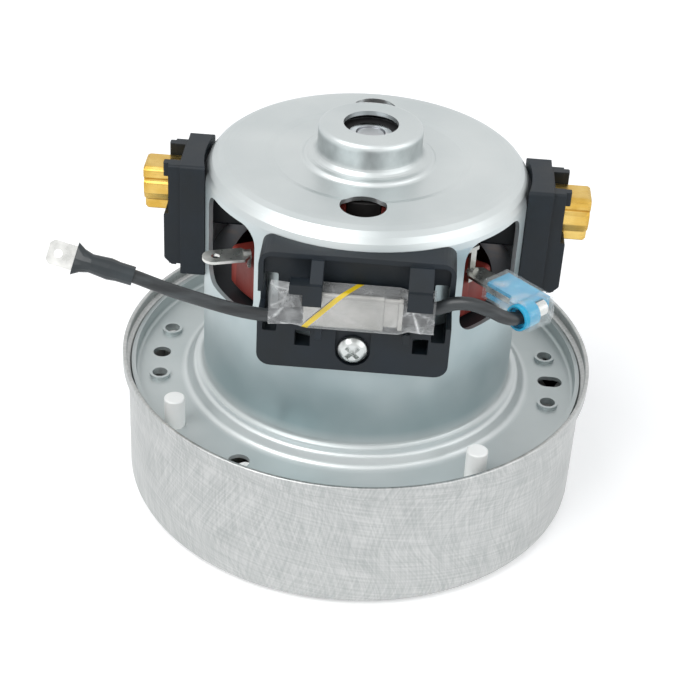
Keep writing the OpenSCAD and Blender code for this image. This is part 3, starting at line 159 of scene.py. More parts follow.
left_lead, left_line = lead_curve("left_lead_wire", LEFT_ROUTE)
right_lead, right_line = lead_curve("right_lead_wire", RIGHT_ROUTE)
for piece, node in ((left_lead, "lead_left"), (right_lead, "lead_right")):
    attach(piece, "housing")
    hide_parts(node)
print("leads, mm", round(length_of(left_line) / MM, 1), round(length_of(right_line) / MM, 1))

# %% [markdown]
# The crinkled sleeve
#
# The thermal protector sits in a short sleeve of clear film. Where the film lies on the can it is
# smooth, but past the can's ends nothing holds it, and it has buckled into flat facets with sharp
# straight creases. The piece starts as a flat sheet, as the real film does, which is rolled round
# the section and joined at the back. The creases are the ridges of three zigzags that cross at
# different slants, so the facets come out uneven. Each zigzag runs a whole number of times round
# the section, so that it meets itself at the seam.

# %% Crinkled sleeve
SLEEVE_X = (-21.7, 20.3)
SLEEVE_Y = (-53.1, -45.7)
SLEEVE_Z = (79.7, 91.0)
CAN_X = (-12.9, 12.2)
SLEEVE_CORNER = 1.8
FLAT_Y = (SLEEVE_Y[1] - SLEEVE_Y[0]) / 2 - SLEEVE_CORNER
FLAT_Z = (SLEEVE_Z[1] - SLEEVE_Z[0]) / 2 - SLEEVE_CORNER
BEND_RUN = math.pi / 2 * SLEEVE_CORNER
SLEEVE_ROUND = 4 * (FLAT_Y + FLAT_Z + BEND_RUN)
# Each zigzag's pitch along X in mm, times round the section, and depth in mm
CREASES = [(15.0, 2, 0.5), (-23.0, 3, 0.38), (9.5, -1, 0.2)]
# The film comes loose over this length in mm, which starts this far before the can's end
LOOSE_RUN = 2.5
LOOSE_BEFORE = 1.0
FILM_GAP = 0.05
# How sharply the painted highlight of a crease falls off from its ridge, how much of it shows on
# the can, and the painted reflection on alternating facets past it
RIDGE_POWER = 14
CREASE_ON_CAN = 0.15
PAINTED_FACET_REFLECTION = 0.3
FILM_GRID = (140, 116)


def section(turn):
    """A point on the sleeve's section by its share of the way round, and the direction out of the
    film there."""
    run = turn * SLEEVE_ROUND
    for side in range(4):
        reach, half = (FLAT_Y, FLAT_Z) if side % 2 == 0 else (FLAT_Z, FLAT_Y)
        if run <= 2 * half + BEND_RUN or side == 3:
            swing = max(0.0, run - 2 * half) / SLEEVE_CORNER
            out = Vector((math.cos(swing), math.sin(swing)))
            spot = Vector((reach, min(run, 2 * half) - half)) + out * SLEEVE_CORNER
            quarter = Matrix.Rotation(math.radians(90 * side), 2)
            return quarter @ spot, quarter @ out
        run -= 2 * half + BEND_RUN


def zigzag(turns):
    """A zigzag between 0 and 1 with sharp ridges."""
    return abs(turns % 1.0 * 2 - 1)


def crinkled_sleeve():
    """A flat sheet of film, rolled round the section and buckled past the can's ends."""
    bm = bmesh.new()
    bmesh.ops.create_grid(bm, x_segments=FILM_GRID[0], y_segments=FILM_GRID[1], size=0.5)
    layer = bm.verts.layers.float.new("crease")
    middle = Vector((sum(SLEEVE_Y), sum(SLEEVE_Z))) / 2
    for vert in bm.verts:
        x = SLEEVE_X[0] + (SLEEVE_X[1] - SLEEVE_X[0]) * (vert.co.x + 0.5)
        turn = vert.co.y + 0.5
        spot, out = section(turn)
        past_can = max(CAN_X[0] - x, x - CAN_X[1])
        loose = min(1.0, max(0.0, (past_can + LOOSE_BEFORE) / LOOSE_RUN))
        counts = [x / pitch + times * turn for pitch, times, depth in CREASES]
        ridges = [zigzag(count) for count in counts]
        facet = sum(math.floor(2 * count) % 2 for count in counts) / len(counts)
        buckle = sum((1 - ridge) * depth for ridge, (pitch, times, depth) in zip(ridges, CREASES))
        y, z = middle + spot - out * (FILM_GAP + (FILM_GAP + loose) * buckle)
        vert.co = Vector((x, y, z)) * MM
        # The crease layer holds a painted highlight on each ridge and a painted reflection on loose
        # facets
        shows = CREASE_ON_CAN + (1 - CREASE_ON_CAN) * loose
        vert[layer] = max(max(ridges) ** RIDGE_POWER * shows, PAINTED_FACET_REFLECTION * facet * loose)
    bmesh.ops.remove_doubles(bm, verts=bm.verts, dist=0.01 * MM)
    bmesh.ops.recalc_face_normals(bm, faces=bm.faces)
    mesh = bpy.data.meshes.new("sleeve_film")
    bm.to_mesh(mesh)
    bm.free()
    return new_object("sleeve_film", mesh)


sleeve_film = crinkled_sleeve()
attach(sleeve_film, "housing")
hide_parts("protector_sleeve")
print("sleeve film, faces", len(sleeve_film.data.polygons))

# %% [markdown]
# The brush springs
#
# Behind each carbon brush a coil spring of steel wire fills the brass tube, and it gets shorter as
# the brush is pushed back. A spin that also steps along its axis draws the wire's round end into a
# helix, with the turns and the size of the CAD spring. It is a piece of its own because only a new
# piece may be squashed by a joint.

# %% Brush springs
SPRING_TURNS = 8
WIRE_R = 0.45 * MM
WIRE_SIDES = 8
STEPS_A_TURN = 24
# The corner of the spring's box, low or high, that lies at the closed end of its tube
CLOSED_END = {"left": 0, "right": 1}


def coil_spring(side):
    """A wire helix along X, in the place and of the size of the CAD spring."""
    low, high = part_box("brush_spring_" + side)
    centre = (low + high) / 2
    coil_r = (high.y - low.y) / 2 - WIRE_R
    run = high.x - low.x - 2 * WIRE_R
    steps = SPRING_TURNS * STEPS_A_TURN
    bm = bmesh.new()
    bmesh.ops.create_circle(bm, radius=WIRE_R, segments=WIRE_SIDES)
    bmesh.ops.translate(bm, verts=bm.verts, vec=(low.x + WIRE_R, centre.y + coil_r, centre.z))
    bmesh.ops.spin(bm, geom=bm.verts[:] + bm.edges[:], cent=centre, axis=(1, 0, 0),
                   dvec=(run / steps, 0, 0), angle=math.tau * SPRING_TURNS, steps=steps)
    bmesh.ops.holes_fill(bm, edges=bm.edges)
    bmesh.ops.recalc_face_normals(bm, faces=bm.faces)
    for face in bm.faces:
        face.smooth = len(face.verts) == 4
    mesh = bpy.data.meshes.new("spring_wire_" + side)
    bm.to_mesh(mesh)
    bm.free()
    return new_object("spring_wire_" + side, mesh)


for side, end in CLOSED_END.items():
    spring = coil_spring(side)
    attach(spring, "housing")
    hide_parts("brush_spring_" + side)
    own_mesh(spring)
    print(spring.name, "faces", len(spring.data.polygons))

# %% [markdown]
# Colours and nodes
#
# Colours are picked as sRGB hex codes, as in any picture editor, but shaders work with linear
# light, so one function turns a code into linear values. A second one adds a shader node with its
# settings and its inputs in a single line, which keeps each material short enough to read. Most
# finishes need some soft random grain, and its size matters more than anything else, so a third
# function lays it out in real millimetres.

# %% Helpers for materials


def srgb(code):
    """An sRGB hex colour as linear red, green, blue and alpha."""
    values = [int(code[i:i + 2], 16) / 255 for i in (1, 3, 5)]
    return [v / 12.92 if v <= 0.04045 else ((v + 0.055) / 1.055) ** 2.4 for v in values] + [1.0]


def add(tree, kind, inputs=(), out=0, **settings):
    """Adds a shader node and gives one of its outputs. Inputs go by place or by name, and each is a
    value, a hex colour or another node's output."""
    node = tree.nodes.new("ShaderNode" + kind)
    for name, value in settings.items():
        setattr(node, name, value)
    for socket, value in inputs.items() if isinstance(inputs, dict) else enumerate(inputs):
        if isinstance(value, bpy.types.NodeSocket):
            tree.links.new(value, node.inputs[socket])
        else:
            plain = srgb(value) if isinstance(value, str) else value
            node.inputs[socket].default_value = plain
    return node.outputs[out]


def new_material(name, colour, metallic=0.0, roughness=0.5, **sockets):
    """A material with one Principled shader. Base_Color stands for the socket Base Color."""
    material = bpy.data.materials.new(name)
    material.use_nodes = True
    values = {"Base Color": srgb(colour), "Metallic": metallic, "Roughness": roughness}
    values.update({socket.replace("_", " "): value for socket, value in sockets.items()})
    shader = material.node_tree.nodes["Principled BSDF"]
    for socket, value in values.items():
        shader.inputs[socket].default_value = value
    return material, material.node_tree


def feed(tree, **outputs):
    """Links outputs to the Principled shader's sockets."""
    shader = tree.nodes["Principled BSDF"]
    for socket, output in outputs.items():
        tree.links.new(output, shader.inputs[socket.replace("_", " ")])


def grain(tree, place, size_mm, detail=2.0, turn=0.0):
    """Soft random grain, with features size_mm long along X, Y and Z, turned by degrees round Z."""
    laid = add(tree, "Mapping", {"Vector": place, "Rotation": (0, 0, math.radians(turn)),
                                 "Scale": [size * MM for size in size_mm]}, vector_type="TEXTURE")
    return add(tree, "TexNoise", {"Vector": laid, "Scale": 1.0, "Detail": detail})


def dress(material, *names):
    """Gives CAD nodes or new pieces their material."""
    for name in names:
        data = bpy.data.objects[name].data
        data.materials.clear()
        data.materials.append(material)


# A wave texture's straight bands repeat every tau / 20 units, so at this scale a band is one unit
# wide
BAND = math.tau / 20
print("material helpers ready")

# %% [markdown]
# Zinc-plated drawn steel
#
# The drum and the frame are pressed from steel strip with a thin zinc coat. Zinc is a pale,
# slightly blue grey metal with a satin gloss. On the drum it was brushed by hand in short crossing
# strokes, 10 to 20 mm long, which catch the light one after the other. The wall is a cylinder, so
# the strokes are laid on its unrolled surface: the angle round the axis times the radius is the
# distance sideways, and Z is the height. The seam of that unrolling lies at the back. The frame's
# upright skirt gets a darker blue grey as painted shade, darkest at its foot where it meets the
# tray, and the raised ring round it gets a painted highlight. So its colour follows the height and
# the distance from the axis.

# %% Zinc on the drum and the frame
WALL_R = 66.4 * MM
SKIRT_R = 45 * MM
# The width and length of a brush stroke, and how far it bows sideways, in mm
STROKE = (0.6, 16)
BOW = 13
# Grain this many mm long shows no end on a part of this size
NO_END = 1000
# Where zones of the frame start or end, in mm up the axis, each as the two ends of a soft edge
TRAY_TOP = (38.5, 42.5)
SKIRT_FOOT = (44, 60)
RING_TOP = (50, 52)
DOME_BEND = (97.5, 103.5)
BOSS_FOOT = (104.5, 107)
BOSS_TOP = (111, 112)
# The raised ring's edges, in mm from the axis
RING_INSIDE = (45.4, 46.2)
RING_OUTSIDE = (50.2, 51.4)


def unrolled(tree, radius):
    """Sideways distance round the axis, and height, in metres."""
    x, y, z = add(tree, "SeparateXYZ", (add(tree, "TexCoord", out="Object"),)).node.outputs
    back = add(tree, "Math", (y, -1.0), operation="MULTIPLY")
    angle = add(tree, "Math", (x, back), operation="ARCTAN2")
    return add(tree, "CombineXYZ", (add(tree, "Math", (angle, radius), operation="MULTIPLY"), z))


def off_axis(tree):
    """Distance from the motor axis, in metres."""
    x, y, z = add(tree, "SeparateXYZ", (add(tree, "TexCoord", out="Object"),)).node.outputs
    return add(tree, "VectorMath", (add(tree, "CombineXYZ", (x, y)),), "Value", operation="LENGTH")


def zone(tree, place, start, end):
    """1 from start to end, which are the soft edges of a zone in mm, and 0 past them."""
    low = add(tree, "MapRange", (place, start[0] * MM, start[1] * MM))
    high = add(tree, "MapRange", (place, end[0] * MM, end[1] * MM, 1.0, 0.0))
    return add(tree, "Math", (low, high), operation="MULTIPLY")


def zinc_brushed():
    material, tree = new_material("Zinc_plated_steel_brushed", "#BCBEBD", 1.0, 0.44)
    wall = unrolled(tree, WALL_R)
    # The strokes bow a little, as the hand that held the brush swung
    bow = grain(tree, wall, (45, 24, NO_END), 0.0)
    bow = add(tree, "CombineXYZ", (add(tree, "Math", (bow, BOW * MM), operation="MULTIPLY"),))
    wall = add(tree, "VectorMath", (wall, bow))
    hatch = 0.0
    for stroke_turn, patch_turn in ((-14, -10), (19, -70), (82, 40)):
        # The strokes are stronger in some patches than in others
        strokes = grain(tree, wall, (*STROKE, NO_END), 2.0, stroke_turn)
        patch = grain(tree, wall, (9, 13, NO_END), 1.0, patch_turn)
        patch = add(tree, "MapRange", (patch, 0.4, 0.6, 0.6, 0.7))
        hatch = add(tree, "Math", (strokes, patch, hatch), operation="MULTIPLY_ADD")
    tone = add(tree, "MapRange", (hatch, 0.76, 1.2))
    zinc = add(tree, "Mix", {0: tone, 6: "#A9ACAB", 7: "#C7C8C7"}, 2, data_type="RGBA")
    feed(tree, Base_Color=zinc, Roughness=add(tree, "MapRange", (tone, 0, 1, 0.38, 0.5)),
         Normal=add(tree, "Bump", {"Strength": 0.4, "Distance": 0.02 * MM, "Height": hatch}))
    return material


def zinc_drawn():
    material, tree = new_material("Zinc_plated_steel_drawn", "#C9CFCF", 1.0, 0.34)
    place = add(tree, "TexCoord", out="Object")
    height = add(tree, "SeparateXYZ", (place,), "Z")
    cloud = grain(tree, place, (45, 45, 45), 4.0)
    tone = add(tree, "MapRange", (cloud, 0.35, 0.65))
    bright = add(tree, "Mix", {0: tone, 6: "#C1C8C9", 7: "#D2D7D7"}, 2, data_type="RGBA")
    # Soft dark scuffs from the press tool on the side of the boss
    scuffs = add(tree, "MapRange", (grain(tree, place, (7, 7, 12), 4.0), 0.35, 0.7, 0.15, 0.75))
    on_boss = zone(tree, height, BOSS_FOOT, BOSS_TOP)
    scuffed = add(tree, "Math", (scuffs, on_boss), operation="MULTIPLY")
    top = add(tree, "Mix", {0: scuffed, 6: bright, 7: "#858A8B"}, 2, data_type="RGBA")
    # The skirt's darker blue grey is painted shade
    skirt = add(tree, "Mix", {0: tone, 6: "#A4B5B8", 7: "#CAD4D5"}, 2, data_type="RGBA")
    # Its foot, in the corner by the tray, gets the darkest painted shade
    foot = add(tree, "MapRange", (height, SKIRT_FOOT[0] * MM, SKIRT_FOOT[1] * MM, 0.45, 0.0))
    skirt = add(tree, "Mix", {0: foot, 6: skirt, 7: "#83999D"}, 2, data_type="RGBA")
    tray = add(tree, "Mix", {0: tone, 6: "#B6BEBE", 7: "#CCD1D1"}, 2, data_type="RGBA")
    above_tray = add(tree, "MapRange", (height, TRAY_TOP[0] * MM, TRAY_TOP[1] * MM))
    lower = add(tree, "Mix", {0: above_tray, 6: tray, 7: skirt}, 2, data_type="RGBA")
    # A painted highlight along the raised ring round the skirt
    low_down = add(tree, "MapRange", (height, RING_TOP[0] * MM, RING_TOP[1] * MM, 0.45, 0.0))
    ring = add(tree, "Math", (zone(tree, off_axis(tree), RING_INSIDE, RING_OUTSIDE), low_down),
               operation="MULTIPLY")
    lower = add(tree, "Mix", {0: ring, 6: lower, 7: "#E6EAEA"}, 2, data_type="RGBA")
    # The painted shade and highlight of the lower frame end in an uneven line at the dome's bend
    wander = add(tree, "Math", (cloud, 6 * MM, height), operation="MULTIPLY_ADD")
    on_dome = add(tree, "MapRange", (wander, DOME_BEND[0] * MM, DOME_BEND[1] * MM))
    # Fine peel of the zinc, and draw marks that run round the skirt
    peel = grain(tree, place, (1.1, 1.1, 1.1))
    marks = grain(tree, unrolled(tree, SKIRT_R), (25, 0.67, NO_END))
    relief = add(tree, "Math", (marks, 0.7, peel), operation="MULTIPLY_ADD")
    # Below the dome the zinc is drawn as part metal, part matte
    zinc = add(tree, "Mix", {0: on_dome, 6: lower, 7: top}, 2, data_type="RGBA")
    feed(tree, Base_Color=zinc, Metallic=add(tree, "MapRange", (on_dome, 0, 1, 0.55, 1.0)),
         Roughness=add(tree, "MapRange", (cloud, 0.3, 0.7, 0.34, 0.46)),
         Normal=add(tree, "Bump", {"Strength": 0.5, "Distance": 0.006 * MM, "Height": relief}))
    return material


dress(zinc_brushed(), "fan_casing")
dress(zinc_drawn(), "motor_frame", "lower_bracket")
print("zinc dressed")

# %% [markdown]
# Bright, turned and laminated steel
#
# The shaft is ground steel, the bearing rings are polished, and the cores are stacks of electrical
# sheet, whose edges show as fine lines round the height. The fan is pressed from aluminium sheet
# that was spun in a lathe, so its grain runs in rings. The terminals are tinned: pale, soft and a
# little uneven, and the right field tab gets a darker copy of that finish as painted shade.

# %% Other metals


def ground_steel():
    material, tree = new_material("Ground_steel", "#B9BBBE", 1.0, 0.28)
    lines = grain(tree, add(tree, "TexCoord", out="Object"), (17, 17, 0.2))
    feed(tree, Roughness=add(tree, "MapRange", (lines, 0.3, 0.7, 0.2, 0.36)),
         Normal=add(tree, "Bump", {"Strength": 0.4, "Distance": 0.004 * MM, "Height": lines}))
    return material


def bearing_steel():
    material, tree = new_material("Polished_bearing_steel", "#C6C8CB", 1.0, 0.14)
    swirl = grain(tree, add(tree, "TexCoord", out="Object"), (0.7, 0.7, 0.7))
    feed(tree, Roughness=add(tree, "MapRange", (swirl, 0.3, 0.7, 0.1, 0.2)))
    return material


def laminated_steel():
    material, tree = new_material("Laminated_electrical_steel", "#6C6E72", 1.0, 0.5)
    place = add(tree, "TexCoord", out="Object")
    # The sheets are 0.5 mm thick, and drawn at 1 mm so that they show
    stack = add(tree, "Mapping", {"Vector": place, "Scale": (MM, MM, MM)}, vector_type="TEXTURE")
    sheets = add(tree, "TexWave", {"Vector": stack, "Scale": BAND, "Distortion": 0.3},
                 bands_direction="Z")
    rust = add(tree, "MapRange", (grain(tree, place, (8, 8, 8), 4.0), 0.55, 0.75, 0.0, 0.5))
    edges = add(tree, "Mix", {0: sheets, 6: "#4C4E52", 7: "#85878B"}, 2, data_type="RGBA")
    rusty = add(tree, "Mix", {0: rust, 6: edges, 7: "#6B5A4C"}, 2, data_type="RGBA")
    feed(tree, Base_Color=rusty,
         Normal=add(tree, "Bump", {"Strength": 0.6, "Distance": 0.06 * MM, "Height": sheets}))
    return material


def spun_aluminium():
    material, tree = new_material("Spun_aluminium_sheet", "#D6D8DA", 1.0, 0.36)
    rings = grain(tree, add(tree, "CombineXYZ", (off_axis(tree),)), (0.4, NO_END, NO_END))
    feed(tree, Roughness=add(tree, "MapRange", (rings, 0.3, 0.7, 0.26, 0.46)),
         Normal=add(tree, "Bump", {"Strength": 0.5, "Distance": 0.01 * MM, "Height": rings}))
    return material


def tinned_strip(name, dark, light):
    material, tree = new_material(name, light, 1.0, 0.3)
    cloud = grain(tree, add(tree, "TexCoord", out="Object"), (3.3, 3.3, 3.3), 3.0)
    tone = add(tree, "MapRange", (cloud, 0.3, 0.7))
    feed(tree, Base_Color=add(tree, "Mix", {0: tone, 6: dark, 7: light}, 2, data_type="RGBA"),
         Roughness=add(tree, "MapRange", (tone, 0, 1, 0.22, 0.42)))
    return material


dress(ground_steel(), "shaft", "impeller_spacer", "clamp_washer", "brush_spring_left",
      "brush_spring_right", "spring_wire_left", "spring_wire_right")
dress(bearing_steel(), "upper_bearing_outer", "upper_bearing_inner", "upper_bearing_balls",
      "lower_bearing_outer", "lower_bearing_inner", "lower_bearing_balls")
dress(laminated_steel(), "armature_core", "stator_core")
dress(spun_aluminium(), "impeller_back_plate", "impeller_blades", "impeller_shroud")
dress(tinned_strip("Tinned_brass_strip", "#C9CAC6", "#E6E6E2"), "field_tab_left",
      "flag_receptacle")
# The right field tab's darker copy of the tinned finish is painted shade under the dome
dress(tinned_strip("Tinned_strip_painted_shade", "#9FA09C", "#C2C3BF"), "field_tab_right")
dress(tinned_strip("Bright_tinned_blade", "#D4D5D2", "#F0F0ED"), "lead_left_terminal")
print("metals dressed")

# %% [markdown]
# Brass and copper
#
# The brush tubes are drawn brass sheet, bright yellow with faint lines along the draw, which runs
# along X. The commutator is turned copper, darkened where the brushes run. The windings are
# enamelled copper wire, and a wave texture that runs at a slant gives them the pitch of the wires.

# %% Brass, copper and enamelled wire
# The ends of the brush track on the commutator, in mm up the axis
TRACK_START = (86.2, 87.2)
TRACK_END = (96.5, 97.5)


def drawn_brass():
    material, tree = new_material("Drawn_brass_sheet", "#D9B45F", 1.0, 0.27)
    place = add(tree, "TexCoord", out="Object")
    lines = grain(tree, place, (20, 0.7, 0.7))
    cloud = add(tree, "MapRange", (grain(tree, place, (7, 7, 7), 3.0), 0.35, 0.65))
    rounded = add(tree, "Bevel", {"Radius": 0.35 * MM}, samples=4)
    marks = {"Strength": 0.5, "Distance": 0.01 * MM, "Height": lines, "Normal": rounded}
    brass = add(tree, "Mix", {0: cloud, 6: "#CFA64C", 7: "#E3C373"}, 2, data_type="RGBA")
    feed(tree, Base_Color=brass, Roughness=add(tree, "MapRange", (lines, 0.3, 0.7, 0.2, 0.36)),
         Normal=add(tree, "Bump", marks))
    return material


def turned_copper():
    material, tree = new_material("Turned_copper", "#C9805A", 1.0, 0.3)
    place = add(tree, "TexCoord", out="Object")
    height = add(tree, "SeparateXYZ", (place,), "Z")
    lines = grain(tree, place, (12, 12, 0.26))
    # Where the brushes run the copper is browned by the sparks
    worn = zone(tree, height, TRACK_START, TRACK_END)
    copper = add(tree, "Mix", {0: worn, 6: "#C9805A", 7: "#7A4E3A"}, 2, data_type="RGBA")
    feed(tree, Base_Color=copper, Roughness=add(tree, "MapRange", (lines, 0.3, 0.7, 0.22, 0.4)))
    return material


def enamelled_wire():
    material, tree = new_material("Enamelled_copper_wire", "#A0522A", 0.6, 0.32, Coat_Weight=0.5)
    # Wires of 0.6 mm at a slant; diagonal bands are twice as wide as straight ones
    laid = add(tree, "Mapping", {"Vector": add(tree, "TexCoord", out="Object"),
                                 "Scale": (0.45 * MM, 0.45 * MM, 2 * MM)}, vector_type="TEXTURE")
    wires = add(tree, "TexWave", {"Vector": laid, "Scale": BAND, "Distortion": 0.6},
                bands_direction="DIAGONAL")
    enamel = add(tree, "Mix", {0: wires, 6: "#5E2A16", 7: "#B8653A"}, 2, data_type="RGBA")
    feed(tree, Base_Color=enamel,
         Normal=add(tree, "Bump", {"Strength": 0.8, "Distance": 0.3 * MM, "Height": wires}))
    return material


dress(drawn_brass(), "brush_tube_left", "brush_tube_right", "impeller_nut")
dress(turned_copper(), "commutator_bars")
dress(enamelled_wire(), "armature_windings")
print("brass and copper dressed")

# %% [markdown]
# Moulded plastics, rubber and carbon
#
# The holders are black glass-filled nylon, which is not quite black: it is a dark blue grey with a
# satin skin and a very fine grain. A moulded piece has slightly round edges that catch a line of
# light, which a bevelled normal gives without touching the CAD mesh. Rubber, carbon and the plated
# screw differ from it only in colour, gloss and the size of the grain, so one function makes them
# all.

# %% Plastics and rubber


def moulded(name, dark, light, roughness, grain_mm=0.25, edge_mm=0.35, depth_mm=0.012,
            **sockets):
    """Two near colours in soft clouds, a grained skin and rounded edges."""
    material, tree = new_material(name, dark, 0.0, roughness, **sockets)
    place = add(tree, "TexCoord", out="Object")
    cloud = add(tree, "MapRange", (grain(tree, place, (11, 11, 11), 3.0), 0.3, 0.7))
    skin = {"Strength": 0.5, "Distance": depth_mm * MM,
            "Height": grain(tree, place, (grain_mm,) * 3),
            "Normal": add(tree, "Bevel", {"Radius": edge_mm * MM}, samples=4)}
    body = add(tree, "Mix", {0: cloud, 6: dark, 7: light}, 2, data_type="RGBA")
    gloss = add(tree, "MapRange", (cloud, 0, 1, roughness - 0.06, roughness + 0.08))
    feed(tree, Base_Color=body, Roughness=gloss, Normal=add(tree, "Bump", skin))
    return material


dress(moulded("Black_glass_filled_nylon", "#10181D", "#19222A", 0.46, Specular_IOR_Level=0.34),
      "brush_holder_left", "brush_holder_right", "protector_holder")
dress(moulded("White_acetal", "#F4F4F1", "#FBFBF9", 0.4), "locating_pegs", "diffuser")
dress(moulded("Black_phenolic_resin", "#151414", "#211F1E", 0.5),
      "stator_insulator", "commutator_hub")
dress(moulded("Black_nitrile_rubber", "#131315", "#1D1D20", 0.7),
      "bearing_sleeve", "upper_bearing_seals", "lower_bearing_seals")
dress(moulded("Brush_carbon", "#1B1B1C", "#2B2B2D", 0.62, 0.15, 0.1, 0.03),
      "carbon_brush_left", "carbon_brush_right")
dress(moulded("Shrunk_polyolefin", "#23292C", "#30383C", 0.42, 0.5, 0.2, 0.03),
      "lead_left_shrink")
dress(moulded("Bright_zinc_screw", "#C4C8C7", "#D8DBD9", 0.3, 0.3, 0.25, 0.01, Metallic=1.0),
      "protector_screw")
print("moulded pieces dressed")

# %% [markdown]
# Coil wrap
#
# The field coils are wound from enamelled wire and wrapped in brick-red insulating paper. The paper
# lies in overlapping turns, so its surface has soft upright bands about 9 mm wide and small
# wrinkles, and it has a dull, slightly waxy gloss.

# %% Coil wrap
COIL_R = 39.6 * MM
# The width of the paper's turns, and the height over which their edges wander, in mm
PAPER_TURN = (9, 52)


def coil_paper():
    material, tree = new_material("Brick_red_insulating_paper", "#762B24", 0.0, 0.48,
                                  Specular_IOR_Level=0.32)
    turns = add(tree, "Mapping", {"Vector": unrolled(tree, COIL_R),
                                  "Rotation": (0, 0, math.radians(-4)),
                                  "Scale": (PAPER_TURN[0] * MM, PAPER_TURN[1] * MM, 1.0)},
                vector_type="TEXTURE")
    bands = add(tree, "TexWave", {"Vector": turns, "Scale": BAND, "Distortion": 0.8,
                                  "Detail Scale": 1.5}, bands_direction="X", wave_profile="SAW")
    wrinkle = grain(tree, add(tree, "TexCoord", out="Object"), (3.8, 3.8, 7.7), 3.0)
    paper = add(tree, "Mix", {0: bands, 6: "#66211C", 7: "#8B352B"}, 2, data_type="RGBA")
    mottle = add(tree, "MapRange", (wrinkle, 0.3, 0.75))
    relief = add(tree, "Math", (wrinkle, 0.8, bands), operation="MULTIPLY_ADD")
    paper = add(tree, "Mix", {0: mottle, 6: paper, 7: "#782D26"}, 2, data_type="RGBA")
    feed(tree, Base_Color=paper, Roughness=add(tree, "MapRange", (wrinkle, 0.3, 0.7, 0.36, 0.58)),
         Normal=add(tree, "Bump", {"Strength": 0.6, "Distance": 0.25 * MM, "Height": relief}))
    return material


dress(coil_paper(), "field_coil_front", "field_coil_rear")
print("coils dressed")

# %% [markdown]
# The leads and the protector's can
#
# The sheath is smooth black vinyl with long faint scuffs, and the can is nickel-plated steel that
# mirrors its surroundings softly.

# %% Sheath and can


def vinyl_sheath():
    material, tree = new_material("Black_vinyl_sheath", "#26292B", 0.0, 0.34)
    scuffs = grain(tree, add(tree, "TexCoord", out="Object"), (17, 2.5, 2.5), 3.0)
    tone = add(tree, "MapRange", (scuffs, 0.4, 0.75))
    vinyl = add(tree, "Mix", {0: tone, 6: "#25282A", 7: "#43484A"}, 2, data_type="RGBA")
    feed(tree, Base_Color=vinyl, Roughness=add(tree, "MapRange", (scuffs, 0.3, 0.7, 0.28, 0.46)),
         Normal=add(tree, "Bump", {"Strength": 0.4, "Distance": 0.05 * MM, "Height": scuffs}))
    return material


def nickel_can():
    material, tree = new_material("Nickel_plated_can", "#9F9E9A", 1.0, 0.25)
    cloud = grain(tree, add(tree, "TexCoord", out="Object"), (9, 9, 9), 3.0)
    rounded = add(tree, "Bevel", {"Radius": 0.4 * MM}, samples=4)
    tone = add(tree, "MapRange", (cloud, 0.3, 0.7))
    dimples = {"Strength": 0.4, "Distance": 0.1 * MM, "Height": cloud, "Normal": rounded}
    nickel = add(tree, "Mix", {0: tone, 6: "#8F8F8B", 7: "#AEADA9"}, 2, data_type="RGBA")
    feed(tree, Base_Color=nickel, Normal=add(tree, "Bump", dimples))
    return material


dress(vinyl_sheath(), "left_lead_wire", "right_lead_wire", "lead_left", "lead_right")
dress(nickel_can(), "thermal_protector")
print("leads dressed")

# %% [markdown]
# Clear film and the blue boot
#
# The clear sleeve and the terminal's cover are thin films of clear plastic. A film this thin hardly
# bends light, so it is drawn with a low alpha, and what the eye reads as plastic is its gloss. The
# boot is blue nylon that lets some light through, which an alpha below one and a touch of
# subsurface scattering give.

# %% Films and boot
# The yellow line passes this point of the sleeve's front, in mm. It runs so many mm to the right
# for each mm up and for each mm back, so that it goes on over the top face
LINE_AT = (-12.9, -53.0, 80.3)
RIGHT_FOR_UP = 0.91
RIGHT_FOR_BACK = 0.72
# Half its width, and where its soft edge ends
LINE_HALF = (0.85, 1.0)


def clear_film(name, tint, alpha, rise, haze):
    """See-through and glossy. The alpha rises where the film is seen at a slant, and by the haze
    where it has a wave."""
    material, tree = new_material(name, tint, 0.0, 0.12, Specular_IOR_Level=1.0)
    wave = grain(tree, add(tree, "TexCoord", out="Object"), (9, 9, 9), 1.0)
    slant = add(tree, "LayerWeight", {"Blend": 0.5}, "Facing")
    veil = add(tree, "MapRange", (slant, 0.25, 0.75, alpha, alpha + rise))
    waved = add(tree, "MapRange", (wave, 0.6, 0.72, 0.0, haze))
    feed(tree, Alpha=add(tree, "Math", (veil, waved), operation="ADD"),
         Normal=add(tree, "Bump", {"Strength": 0.6, "Distance": 0.2 * MM, "Height": wave}))
    return material, tree, veil


def creased_film():
    """Sleeve film: painted highlight on creases, painted reflection on facets, a yellow line round
    it.
    """
    material, tree, veil = clear_film("Clear_polyester_film", "#F4F6F6", 0.13, 0.3, 0.0)
    x, y, z = add(tree, "SeparateXYZ", (add(tree, "TexCoord", out="Object"),)).node.outputs
    crease = add(tree, "Attribute", out="Fac", attribute_name="crease")
    # The painted highlight along a crease is stronger in some stretches than in others
    spots = grain(tree, add(tree, "TexCoord", out="Object"), (3, 3, 3))
    fade = add(tree, "MapRange", (spots, 0.42, 0.6, 0.15, 0.8))
    glint = add(tree, "Math", (crease, fade, veil), operation="MULTIPLY_ADD")
    offset = add(tree, "Math", (x, LINE_AT[0] * MM), operation="SUBTRACT")
    up = add(tree, "Math", (z, LINE_AT[2] * MM), operation="SUBTRACT")
    offset = add(tree, "Math", (up, -RIGHT_FOR_UP, offset), operation="MULTIPLY_ADD")
    back = add(tree, "Math", (y, LINE_AT[1] * MM), operation="SUBTRACT")
    offset = add(tree, "Math", (back, -RIGHT_FOR_BACK, offset), operation="MULTIPLY_ADD")
    away = add(tree, "Math", (offset,), operation="ABSOLUTE")
    line = add(tree, "MapRange", (away, LINE_HALF[0] * MM, LINE_HALF[1] * MM, 1.0, 0.0))
    solid = add(tree, "Math", (line, 0.92), operation="MULTIPLY")
    film = add(tree, "Mix", {0: line, 6: "#F4F6F6", 7: "#E9C81E"}, 2, data_type="RGBA")
    feed(tree, Base_Color=film, Alpha=add(tree, "Math", (glint, solid), operation="MAXIMUM"))
    return material


